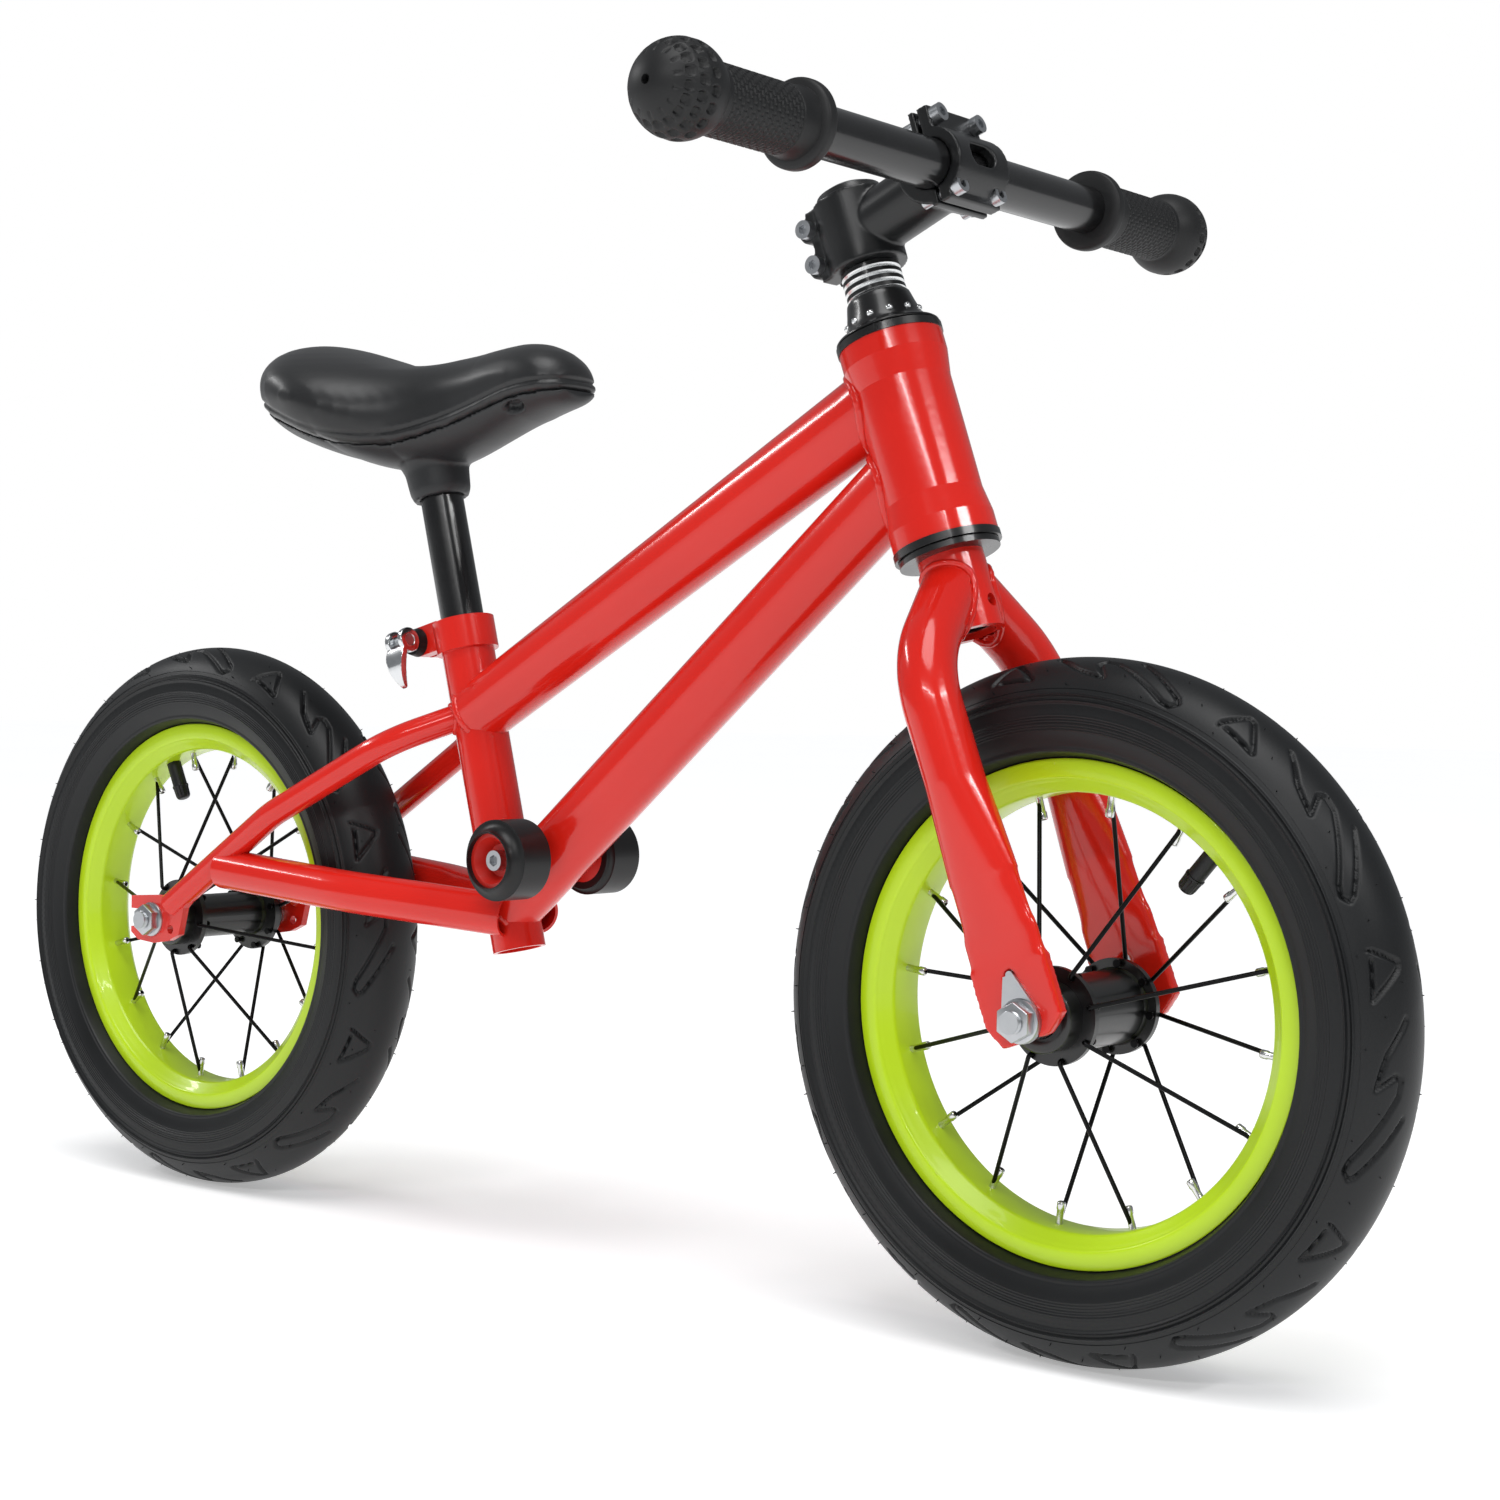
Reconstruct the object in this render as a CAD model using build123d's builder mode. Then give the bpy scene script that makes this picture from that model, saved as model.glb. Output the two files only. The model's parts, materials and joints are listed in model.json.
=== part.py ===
from build123d import *
from math import cos, radians, sin, sqrt
import os

# A child's balance bike: a welded tube frame on two 12 inch spoked wheels.
# Millimetres. +X is forward, +Y is the rider's left, +Z is up.
# The origin is on the ground, midway between the two axles.

# ---------------------------------------------------------------- driving dimensions
wheelbase = 571.0
bead_radius = 101.5
tyre_height = 49.5
tyre_radius = bead_radius + tyre_height
tyre_width = 51.0
tyre_wall = 3.0
rim_flange_height = 6.5
rim_depth = 14.5
rim_width = 30.5
rim_wall = 1.8
rim_bed_wall = 3.0

spoke_count = 16
spoke_diameter = 2.0
spoke_hole_circle = 38.0
nipple_diameter = 3.8
nipple_length = 13.0
valve_diameter = 8.0
valve_reach = 22.0
front_spoke_phase = 6.5
rear_spoke_phase = 30.5

hub_flange_diameter = 42.0
hub_flange_thickness = 3.0
hub_boss_diameter = 30.0
front_hub_barrel = 32.5
rear_hub_barrel = 24.0
front_flange_spacing = 50.0
rear_flange_spacing = 52.0
front_hub_width = 87.0
rear_hub_width = 84.0
hub_ball = 4.8
hub_ball_count = 9
axle_diameter = 9.5
axle_nut_width = 15.0
axle_nut_height = 6.5
axle_end_stub = 2.5

head_angle = 70.0
head_tube_length = 96.0
head_tube_end_diameter = 48.0
head_tube_waist_diameter = 44.5
head_tube_bore = 38.0
fork_offset = 4.0
crown_clearance = 21.0
crown_length = 36.0
crown_diameter = 30.0
steerer_diameter = 22.2
steerer_bore = 18.2
crown_hole_diameter = 6.0
blade_diameter = 26.0
blade_wall = 1.8
blade_tip_width = 38.0
blade_tip_thickness = 6.0
blade_tip_drop = 8.5
hook_hole_diameter = 5.0
hook_hole_height = 19.5

cup_flange_diameter = 49.0
cup_flange_thickness = 3.5
cup_skirt_length = 9.0
cup_bore = 33.0
headset_ball = 4.0
headset_ball_count = 20
cover_height = 19.0
spacer_count = 4
spacer_thickness = 3.6
spacer_diameter = 27.5

stem_clamp_height = 34.5
stem_clamp_diameter = 36.0
stem_reach = 56.0
stem_rise = 4.4
stem_extension_diameter = 29.0
bar_clamp_width = 39.0
bar_clamp_diameter = 35.0
bar_diameter = 22.2
bar_length = 403.0
bar_wall = 1.6
overall_width = 415.0
grip_length = 98.0
grip_body_diameter = 29.3
grip_flange_diameter = 37.8
grip_knob_diameter = 39.8

seat_angle = 75.0
seat_tube_diameter = 27.2
seat_post_diameter = 22.2
seat_post_wall = 1.6
seat_tube_below = 24.0
seat_tube_above = 147.5
bottom_joint_clearance = 79.5
bottom_joint_rise = 22.3
top_tube_rear_diameter = 32.7
top_tube_front_diameter = 36.2
down_tube_diameter = 34.0
main_tube_wall = 1.5
top_tube_seat_height = 99.5
top_tube_drop = 20.5
down_tube_drop = 55.0
seat_stay_diameter = 14.0
chain_stay_diameter = 21.5
stay_wall = 1.5
dropout_thickness = 4.0
eyelet_diameter = 5.0

collar_height = 16.5
collar_wall = 2.4
clamp_reach = 26.7
clamp_rod_diameter = 5.0
lever_pin_diameter = 6.0
lever_length = 25.0

roller_diameter = 40.0
roller_width = 29.5
roller_core_diameter = 27.0
roller_bolt_diameter = 6.0
roller_up_down_tube = 38.5

saddle_length = 211.0
saddle_half_width = 60.0
saddle_height = 56.0
post_showing = 65.5
post_insertion = 75.0
socket_diameter = 28.5
socket_top_diameter = 46.0
socket_height = 30.0

running_gap = 0.05
moving_gap = 0.3

# ---------------------------------------------------------------- frames of reference
rear_axle_at = Vector(-wheelbase / 2, 0, tyre_radius)
front_axle_at = Vector(wheelbase / 2, 0, tyre_radius)
steer_up = Vector(-cos(radians(head_angle)), 0, sin(radians(head_angle)))
steer_forward = Vector(sin(radians(head_angle)), 0, cos(radians(head_angle)))
steer_foot = front_axle_at - steer_forward * fork_offset
seat_up = Vector(-cos(radians(seat_angle)), 0, sin(radians(seat_angle)))
seat_forward = Vector(sin(radians(seat_angle)), 0, cos(radians(seat_angle)))
seat_foot = rear_axle_at + Vector(tyre_radius + bottom_joint_clearance, 0, bottom_joint_rise)
sides = {"right": -1, "left": 1}


def on_steer(height, forward=0.0, left=0.0):
    """A point given along the steering axis, ahead of it and to the left."""
    return steer_foot + steer_up * height + steer_forward * forward + Vector(0, left, 0)


def on_seat(height, forward=0.0, left=0.0):
    """A point given along the seat tube's axis, ahead of it and to the left."""
    return seat_foot + seat_up * height + seat_forward * forward + Vector(0, left, 0)


def steer_plane(height):
    """Square to the steering axis; local X is forward and local Y is left."""
    return Plane(origin=on_steer(height), x_dir=steer_forward, z_dir=steer_up)


def seat_plane(height):
    return Plane(origin=on_seat(height), x_dir=seat_forward, z_dir=seat_up)


# In a section plane local X is the radius and local Y runs along the axis of turning.
steer_section = Plane(origin=steer_foot, x_dir=steer_forward, z_dir=(0, -1, 0))
seat_section = Plane(origin=seat_foot, x_dir=seat_forward, z_dir=(0, -1, 0))


def axle_section(centre):
    return Plane(origin=centre, x_dir=(1, 0, 0), z_dir=(0, 0, 1))


# ---------------------------------------------------------------- shaping helpers
def turn(section, profile, mode=Mode.ADD):
    """Turns a closed outline of (radius, height) points about the section's own Y axis."""
    with BuildSketch(section) as outline:
        with BuildLine():
            Polyline(*profile, close=True)
        make_face()
    revolve(outline.sketch, axis=Axis(section.origin, section.y_dir), mode=mode)


def rod(start, end, diameter, bore=0.0, mode=Mode.ADD):
    """A straight bar, or a tube when it has a bore, between two points."""
    run = end - start
    with BuildSketch(Plane(origin=start, z_dir=run)) as section:
        Circle(diameter / 2)
        if bore > 0:
            Circle(bore / 2, mode=Mode.SUBTRACT)
    extrude(section.sketch, amount=run.length, mode=mode)


def bent_rod(points, bend, diameter, bore=0.0, mode=Mode.ADD):
    """A round bar or tube along straight runs joined by arcs of one bend radius."""
    with BuildLine() as route:
        FilletPolyline(*points, radius=bend)
    path = route.line
    with BuildSketch(Plane(origin=path @ 0, z_dir=path % 0)) as section:
        Circle(diameter / 2)
        if bore > 0:
            Circle(bore / 2, mode=Mode.SUBTRACT)
    sweep(section.sketch, path=path, mode=mode)


def hexagon_nut(section, low, height, across, bore):
    """A hexagon nut on a section's axis, from `low`, with a drilled hole."""
    plane = Plane(origin=section.origin + section.y_dir * low, z_dir=section.y_dir)
    with BuildSketch(plane) as flats:
        RegularPolygon(across / 2, 6, major_radius=False)
        Circle(bore / 2, mode=Mode.SUBTRACT)
    extrude(flats.sketch, amount=height)


def save(piece, label):
    """Labels a finished piece and writes its file."""
    piece.label = label
    export_step(piece, f"parts/{label}.step")


os.makedirs("parts", exist_ok=True)

# ---------------------------------------------------------------- levels along the steering axis
crown_bottom = tyre_radius + crown_clearance
crown_top = crown_bottom + crown_length
race_height = 2.7
cup_bottom = crown_top + race_height + moving_gap
head_bottom = cup_bottom + cup_flange_thickness
head_top = head_bottom + head_tube_length
cup_top = head_top + cup_flange_thickness
cover_bottom = cup_top + moving_gap
cover_top = cover_bottom + cover_height
stem_bottom = cover_top + spacer_count * spacer_thickness
stem_top = stem_bottom + stem_clamp_height
steerer_top = stem_top - 2.5
bar_height = stem_bottom + stem_clamp_height / 2 + stem_rise
bar_centre = on_steer(bar_height, stem_reach)

top_tube_rear = on_seat(top_tube_seat_height)
top_tube_front = on_steer(head_top - top_tube_drop)
down_tube_rear = on_seat(0)
down_tube_front = on_steer(head_top - down_tube_drop)
down_tube_run = (down_tube_front - down_tube_rear).normalized()
seat_tube_bore = seat_post_diameter + 2 * running_gap

# ---------------------------------------------------------------- head tube and its cups
flare_end = 9.0
flare_taper = 12.0
end_radius = head_tube_end_diameter / 2
waist_radius = head_tube_waist_diameter / 2
with BuildPart() as head_tube:
    turn(steer_section, [
        (head_tube_bore / 2, head_bottom),
        (end_radius, head_bottom),
        (end_radius, head_bottom + flare_end),
        (waist_radius, head_bottom + flare_end + flare_taper),
        (waist_radius, head_top - flare_end - flare_taper),
        (end_radius, head_top - flare_end),
        (end_radius, head_top),
        (head_tube_bore / 2, head_top),
    ])
save(head_tube.part, "head_tube")

# The two steel cups are one pattern, pressed in from opposite ends.
cup_lip = 2.0
with BuildPart() as headset_cups:
    for level, way in ((head_bottom, 1), (head_top, -1)):
        turn(steer_section, [
            (cup_bore / 2, level - way * cup_flange_thickness),
            (cup_flange_diameter / 2, level - way * cup_flange_thickness),
            (cup_flange_diameter / 2, level),
            (head_tube_bore / 2, level),
            (head_tube_bore / 2, level + way * cup_skirt_length),
            (cup_bore / 2 - cup_lip, level + way * cup_skirt_length),
            (cup_bore / 2 - cup_lip, level + way * (cup_skirt_length - cup_lip)),
            (cup_bore / 2, level + way * (cup_skirt_length - cup_lip)),
        ])
save(headset_cups.part, "headset_cups")

# ---------------------------------------------------------------- seat tube and main tubes
with BuildPart() as seat_tube:
    rod(on_seat(-seat_tube_below), on_seat(seat_tube_above), seat_tube_diameter, seat_tube_bore)
save(seat_tube.part, "seat_tube")


def trim_round(start, end, diameter):
    """Takes away the envelope of a neighbouring tube, as a mitred joint does."""
    rod(start, end, diameter, mode=Mode.SUBTRACT)


def top_tube_taper(wall, mode):
    """The gently tapering outside of the top tube, or its inside at a wall's depth."""
    run = top_tube_front - top_tube_rear
    with BuildSketch(Plane(origin=top_tube_rear, z_dir=run)) as rear_end:
        Circle(top_tube_rear_diameter / 2 - wall)
    with BuildSketch(Plane(origin=top_tube_front, z_dir=run)) as front_end:
        Circle(top_tube_front_diameter / 2 - wall)
    loft([rear_end.sketch, front_end.sketch], mode=mode)


with BuildPart() as top_tube:
    top_tube_taper(0, Mode.ADD)
    top_tube_taper(main_tube_wall, Mode.SUBTRACT)
    trim_round(on_seat(-seat_tube_below), on_seat(seat_tube_above), seat_tube_diameter)
    trim_round(on_steer(head_bottom - 60), on_steer(head_top + 60), head_tube_waist_diameter)
    add(head_tube.part, mode=Mode.SUBTRACT)
save(top_tube.part, "top_tube")

with BuildPart() as down_tube:
    rod(down_tube_rear, down_tube_front, down_tube_diameter, down_tube_diameter - 2 * main_tube_wall)
    trim_round(on_seat(-seat_tube_below - 60), on_seat(seat_tube_above), seat_tube_diameter)
    trim_round(on_steer(head_bottom - 60), on_steer(head_top + 60), head_tube_waist_diameter)
    trim_round(on_steer(head_bottom - 60), on_steer(head_bottom), cup_flange_diameter + 2 * moving_gap)
    top_tube_taper(0, Mode.SUBTRACT)
    add(head_tube.part, mode=Mode.SUBTRACT)
    roller_axis_at = down_tube_rear + down_tube_run * roller_up_down_tube
    cross_tube_diameter = 14.0
    cross_tube_half = down_tube_diameter / 2 + 1.2
    trim_round(
        roller_axis_at - Vector(0, cross_tube_half + 5, 0),
        roller_axis_at + Vector(0, cross_tube_half + 5, 0),
        cross_tube_diameter,
    )
save(down_tube.part, "down_tube")

# ---------------------------------------------------------------- rear dropouts
dropout_inner = rear_hub_width / 2
dropout_middle = dropout_inner + dropout_thickness / 2
slot_width = axle_diameter + 0.6
with BuildPart() as rear_dropouts:
    for side in sides.values():
        face = rear_axle_at + Vector(0, side * dropout_middle - dropout_thickness / 2, 0)
        with BuildSketch(Plane(origin=face, x_dir=(1, 0, 0), z_dir=(0, 1, 0))) as plate:
            with BuildLine():
                Polyline(
                    (-18, -12), (8, -14), (16, -14), (40, -33), (46, -25), (27, -8),
                    (23, 7), (14, 11), (2, 13), (-12, 12), (-18, 8), close=True,
                )
            make_face()
            with BuildLine():
                Polyline(
                    (0, -slot_width / 2), (-30, -slot_width / 2), (-30, slot_width / 2),
                    (0, slot_width / 2), close=True,
                )
            make_face(mode=Mode.SUBTRACT)
            Circle(slot_width / 2, mode=Mode.SUBTRACT)
            with Locations((16, 4.5)):
                Circle(eyelet_diameter / 2, mode=Mode.SUBTRACT)
        extrude(plate.sketch, amount=dropout_thickness)
save(rear_dropouts.part, "rear_dropouts")

# ---------------------------------------------------------------- stays
stay_left = dropout_middle
seat_stay_top = top_tube_seat_height + 1.0


def seat_stay_route(side):
    """From the seat tube out round the tyre and down to the dropout."""
    return [
        on_seat(seat_stay_top, -2, side * 3),
        rear_axle_at + Vector(tyre_radius + 20, side * 31, 103.0),
        rear_axle_at + Vector(96, side * (stay_left - 0.5), 62.5),
        rear_axle_at + Vector(15, side * stay_left, 9),
    ]


def chain_stay_route(side):
    """From the seat stay's lower end forward past the tyre to the seat tube's foot."""
    return [
        rear_axle_at + Vector(58, side * (stay_left - 1), 31.4),
        rear_axle_at + Vector(tyre_radius, side * 38.5, 24.8),
        on_seat(-7, 7, side * 12),
    ]


stay_bend = 60.0
with BuildPart() as seat_stays:
    for side in sides.values():
        bent_rod(seat_stay_route(side), stay_bend, seat_stay_diameter, seat_stay_diameter - 2 * stay_wall)
    trim_round(on_seat(-seat_tube_below), on_seat(seat_tube_above), seat_tube_diameter)
    add(rear_dropouts.part, mode=Mode.SUBTRACT)
save(seat_stays.part, "seat_stays")

with BuildPart() as chain_stays:
    for side in sides.values():
        bent_rod(
            chain_stay_route(side), 90.0, chain_stay_diameter, chain_stay_diameter - 2 * stay_wall,
        )
    for side in sides.values():
        bent_rod(seat_stay_route(side), stay_bend, seat_stay_diameter, mode=Mode.SUBTRACT)
    trim_round(on_seat(-seat_tube_below - 10), on_seat(seat_tube_above), seat_tube_diameter)
    trim_round(down_tube_rear, down_tube_front, down_tube_diameter)
    add(rear_dropouts.part, mode=Mode.SUBTRACT)
save(chain_stays.part, "chain_stays")

# ---------------------------------------------------------------- foot rollers
roller_bore = roller_bolt_diameter + 2 * running_gap
thread_hole = roller_bolt_diameter
roller_inner = cross_tube_half + moving_gap
roller_outer = roller_inner + roller_width
recess_diameter = 20.0
recess_depth = 10.0
bolt_head_diameter = 10.0
bolt_head_height = 5.0
roller_web_outer = roller_outer - recess_depth
roller_section = Plane(origin=roller_axis_at, x_dir=(1, 0, 0), z_dir=(0, 0, 1))

with BuildPart() as roller_cross_tube:
    turn(roller_section, [
        (thread_hole / 2, -cross_tube_half),
        (cross_tube_diameter / 2, -cross_tube_half),
        (cross_tube_diameter / 2, cross_tube_half),
        (thread_hole / 2, cross_tube_half),
    ])
save(roller_cross_tube.part, "roller_cross_tube")

with BuildPart() as roller_bolts:
    for side in sides.values():
        seat_at = side * (roller_web_outer + moving_gap)
        turn(roller_section, [
            (0, side * 1.0),
            (roller_bolt_diameter / 2, side * 1.0),
            (roller_bolt_diameter / 2, seat_at),
            (bolt_head_diameter / 2, seat_at),
            (bolt_head_diameter / 2, seat_at + side * bolt_head_height),
            (0, seat_at + side * bolt_head_height),
        ])
        socket_at = roller_axis_at + Vector(0, seat_at + side * bolt_head_height, 0)
        with BuildSketch(Plane(origin=socket_at, z_dir=(0, side, 0))) as key_socket:
            RegularPolygon(2.5, 6, major_radius=False)
        extrude(key_socket.sketch, amount=-3.0, mode=Mode.SUBTRACT)
save(roller_bolts.part, "roller_bolts")

edge_round = 6.0
for name, side in sides.items():
    with BuildPart() as roller_core:
        turn(roller_section, [
            (roller_bore / 2, side * roller_inner),
            (recess_diameter / 2 - 2, side * roller_inner),
            (roller_core_diameter / 2, side * (roller_inner + 2)),
            (roller_core_diameter / 2, side * (roller_outer - 3.0)),
            (recess_diameter / 2 + 1.5, side * (roller_outer - 3.0)),
            (recess_diameter / 2 - 2, side * roller_web_outer),
            (roller_bore / 2, side * roller_web_outer),
        ])
    save(roller_core.part, f"roller_core_{name}")
    with BuildPart() as roller_tyre:
        with BuildSketch(roller_section) as tread:
            with BuildLine():
                inner = side * (roller_inner + 2)
                outer = side * roller_outer
                rim = roller_diameter / 2
                turn_in = side * edge_round
                Polyline(
                    (rim - edge_round, outer), (roller_core_diameter / 2, outer),
                    (roller_core_diameter / 2, inner), (rim - 3, inner),
                )
                RadiusArc((rim - 3, inner), (rim, inner + side * 3), side * 3)
                Line((rim, inner + side * 3), (rim, outer - turn_in))
                RadiusArc((rim, outer - turn_in), (rim - edge_round, outer), side * edge_round)
            make_face()
        revolve(tread.sketch, axis=Axis(roller_axis_at, (0, 1, 0)))
    save(roller_tyre.part, f"roller_tyre_{name}")

# ---------------------------------------------------------------- seat clamp and its quick lever
collar_top = seat_tube_above + 1.5
collar_bottom = collar_top - collar_height
clamp_level = collar_top - 5.0
collar_radius = seat_tube_diameter / 2 + collar_wall
ear_half = 8.5
ear_radius = 7.5
slit_half = 1.2
clamp_at = on_seat(clamp_level, -clamp_reach)
clamp_section = Plane(origin=clamp_at, x_dir=seat_forward, z_dir=seat_up)
with BuildPart() as seat_clamp_collar:
    rod(on_seat(collar_bottom), on_seat(collar_top), 2 * collar_radius)
    rod(clamp_at - Vector(0, ear_half, 0), clamp_at + Vector(0, ear_half, 0), 2 * ear_radius)
    with BuildSketch(seat_plane(clamp_level - ear_radius)) as ears:
        with Locations((-clamp_reach / 2, 0)):
            Rectangle(clamp_reach, 2 * ear_half)
    extrude(ears.sketch, amount=2 * ear_radius)
    rod(on_seat(collar_bottom - 5), on_seat(collar_top + 5), seat_tube_diameter, mode=Mode.SUBTRACT)
    with BuildSketch(seat_plane(collar_bottom - 5)) as slit:
        with Locations((-clamp_reach, 0)):
            Rectangle(2 * clamp_reach - 2, 2 * slit_half)
    extrude(slit.sketch, amount=collar_height + 10, mode=Mode.SUBTRACT)
    rod(
        clamp_at - Vector(0, ear_half + 5, 0), clamp_at + Vector(0, ear_half + 5, 0),
        clamp_rod_diameter + 0.4, mode=Mode.SUBTRACT,
    )
save(seat_clamp_collar.part, "seat_clamp_collar")

# The cam washer and the lever are on the right, and the nut is on the left.
washer_height = 4.2
cheek_radius = 6.5
cam_centre = -(ear_half + washer_height + moving_gap + cheek_radius)
with BuildPart() as clamp_washer:
    turn(clamp_section, [
        (clamp_rod_diameter / 2 + 0.2, -ear_half),
        (7.5, -ear_half),
        (6.5, -ear_half - washer_height),
        (clamp_rod_diameter / 2 + 0.2, -ear_half - washer_height),
    ])
save(clamp_washer.part, "clamp_washer")

cheek_inner = 3.3
cheek_outer = 6.3
pin_half = 6.0
with BuildPart() as clamp_skewer:
    rod(clamp_at + Vector(0, cam_centre, 0), clamp_at + Vector(0, ear_half + 8, 0), clamp_rod_diameter)
    cam_at = clamp_at + Vector(0, cam_centre, 0)
    rod(cam_at - seat_forward * pin_half, cam_at + seat_forward * pin_half, lever_pin_diameter)
save(clamp_skewer.part, "clamp_skewer")

with BuildPart() as clamp_nut:
    turn(clamp_section, [
        (clamp_rod_diameter / 2 + 0.02, ear_half),
        (6.5, ear_half),
        (6.5, ear_half + 5),
        (4.8, ear_half + 8.5),
        (clamp_rod_diameter / 2 + 0.02, ear_half + 8.5),
    ])
save(clamp_nut.part, "clamp_nut")

# Two cheeks turn on the pin and carry a curved finger plate that hangs down when closed.
sag = 4.0
with BuildPart() as clamp_lever:
    for way in (-1, 1):
        rod(
            cam_at + seat_forward * (way * cheek_inner), cam_at + seat_forward * (way * cheek_outer),
            2 * cheek_radius, lever_pin_diameter + 2 * running_gap,
        )
    cheek_plane = Plane(origin=cam_at - seat_forward * cheek_outer, x_dir=(0, -1, 0), z_dir=seat_forward)
    with BuildSketch(cheek_plane) as finger:
        with BuildLine():
            outer_top = (5.4, 3.2)
            outer_tip = (3.5, lever_length)
            inner_tip = (2.4, lever_length - 1.0)
            inner_top = (3.2, 5.6)
            outer_arc = SagittaArc(outer_top, outer_tip, -sag)
            Line(outer_tip, inner_tip)
            SagittaArc(inner_tip, inner_top, sag - 2.6)
            Line(inner_top, outer_top)
        make_face()
    extrude(finger.sketch, amount=2 * cheek_outer)
save(clamp_lever.part, "clamp_lever")

# ---------------------------------------------------------------- wheels
rim_radius = bead_radius + rim_flange_height
rim_bed_radius = rim_radius - rim_depth
bead_half = rim_width / 2 - rim_wall
tyre_section_radius = tyre_width / 2
tyre_centre = tyre_radius - tyre_section_radius
tube_wall = 1.2
tube_section_radius = tyre_section_radius - tyre_wall - 1.5
tube_centre = tyre_radius - tyre_wall - tube_section_radius - 0.2
cup_radius = 12.5
ball_circle = cup_radius - hub_ball / 2 - 0.1
cone_radius = ball_circle - hub_ball / 2 - moving_gap
axle_hole_radius = axle_diameter / 2 + 1.3


def half_width_at(radius, centre, section_radius):
    """Half the width of a round section at a distance from the wheel's axis."""
    return sqrt(section_radius**2 - (radius - centre) ** 2)


def rim_point(angle, radius):
    """X and Z, from the axle, at an angle measured forward from straight up."""
    return radius * sin(radians(angle)), radius * cos(radians(angle))


def side_of(number):
    """Radial spokes go to the left and right flanges in turn."""
    return 1 if number % 2 == 0 else -1


def make_wheel(name, axle_at, barrel, flange_spacing, hub_width, phase, valve_gap):
    """Hub, balls, spokes, nipples, rim, tyre, inner tube and valve cap of one wheel."""
    section = axle_section(axle_at)
    axis = Axis(axle_at, (0, 1, 0))
    hub_half = hub_width / 2 - 8
    cup_floor = hub_half - hub_ball - 1.6
    flange_at = flange_spacing / 2
    flange_in = flange_at - hub_flange_thickness / 2
    flange_out = flange_at + hub_flange_thickness / 2
    right_half = [
        (hub_boss_diameter / 2, -hub_half), (hub_boss_diameter / 2, -flange_out),
        (hub_flange_diameter / 2, -flange_out), (hub_flange_diameter / 2, -flange_in),
        (barrel / 2 + 0.8, -flange_in), (barrel / 2, -flange_in + 2),
    ]
    right_cup = [
        (axle_hole_radius, -cup_floor), (cup_radius, -cup_floor), (cup_radius, -hub_half),
    ]
    hole_circle = spoke_hole_circle / 2

    with BuildPart() as hub:
        turn(section, right_half + [(r, -y) for r, y in reversed(right_half)]
             + [(r, -y) for r, y in reversed(right_cup)] + right_cup)
        for number in range(spoke_count):
            x, z = rim_point(phase + number * 360 / spoke_count, hole_circle)
            side = side_of(number)
            start = axle_at + Vector(x, side * (flange_in - 1), z)
            rod(start, start + Vector(0, side * (hub_flange_thickness + 2), 0),
                spoke_diameter + 0.5, mode=Mode.SUBTRACT)
    save(hub.part, f"{name}_hub")

    with BuildPart() as hub_balls:
        for side in (-1, 1):
            for number in range(hub_ball_count):
                x, z = rim_point(number * 360 / hub_ball_count, ball_circle)
                with Locations(axle_at + Vector(x, side * (cup_floor + hub_ball / 2 + 0.2), z)):
                    Sphere(hub_ball / 2)
    save(hub_balls.part, f"{name}_hub_balls")

    with BuildPart() as spokes:
        for number in range(spoke_count):
            side = side_of(number)
            angle = phase + number * 360 / spoke_count
            x, z = rim_point(angle, hole_circle)
            head = axle_at + Vector(x, side * (flange_in - 1.6), z)
            elbow = axle_at + Vector(x, side * (flange_out + 2.6), z)
            end_x, end_z = rim_point(angle, rim_bed_radius - 1)
            end = axle_at + Vector(end_x, 0, end_z)
            bent_rod([head, elbow, end], 1.3, spoke_diameter)
            rod(head - Vector(0, side * 0.8, 0), head, spoke_diameter + 1.6)
    save(spokes.part, f"{name}_spokes")

    with BuildPart() as nipples:
        for number in range(spoke_count):
            x, z = rim_point(phase + number * 360 / spoke_count, 1)
            outward = Vector(x, 0, z)
            seat = axle_at + outward * (rim_bed_radius + rim_bed_wall)
            foot = seat - outward * nipple_length
            rod(foot, seat, nipple_diameter)
            rod(seat, seat + outward * 1.0, nipple_diameter + 2)
        add(spokes.part, mode=Mode.SUBTRACT)
    save(nipples.part, f"{name}_nipples")

    # Channel rim: two upright flanges, sloping bead seats and a flat spoke bed.
    bed_half = 9.5
    well_radius = rim_bed_radius + rim_bed_wall
    half_rim = [
        (well_radius, 0), (well_radius, bed_half - 2.5), (bead_radius - 0.6, bead_half - 3),
        (bead_radius, bead_half), (rim_radius, bead_half), (rim_radius, rim_width / 2),
        (bead_radius - 1.5, rim_width / 2), (rim_bed_radius, bed_half), (rim_bed_radius, 0),
    ]
    valve_angle = phase + valve_gap * 360 / spoke_count
    valve_x, valve_z = rim_point(valve_angle, 1)
    valve_way = Vector(valve_x, 0, valve_z)
    with BuildPart() as rim:
        turn(section, half_rim[:-1] + [(r, -y) for r, y in reversed(half_rim)][1:])
        for number in range(spoke_count):
            x, z = rim_point(phase + number * 360 / spoke_count, 1)
            way = Vector(x, 0, z)
            rod(axle_at + way * (rim_bed_radius - 3), axle_at + way * (well_radius + 3),
                nipple_diameter + 0.3, mode=Mode.SUBTRACT)
        rod(axle_at + valve_way * (rim_bed_radius - 3), axle_at + valve_way * (well_radius + 3),
            valve_diameter + 0.3, mode=Mode.SUBTRACT)
    save(rim.part, f"{name}_rim")

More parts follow.
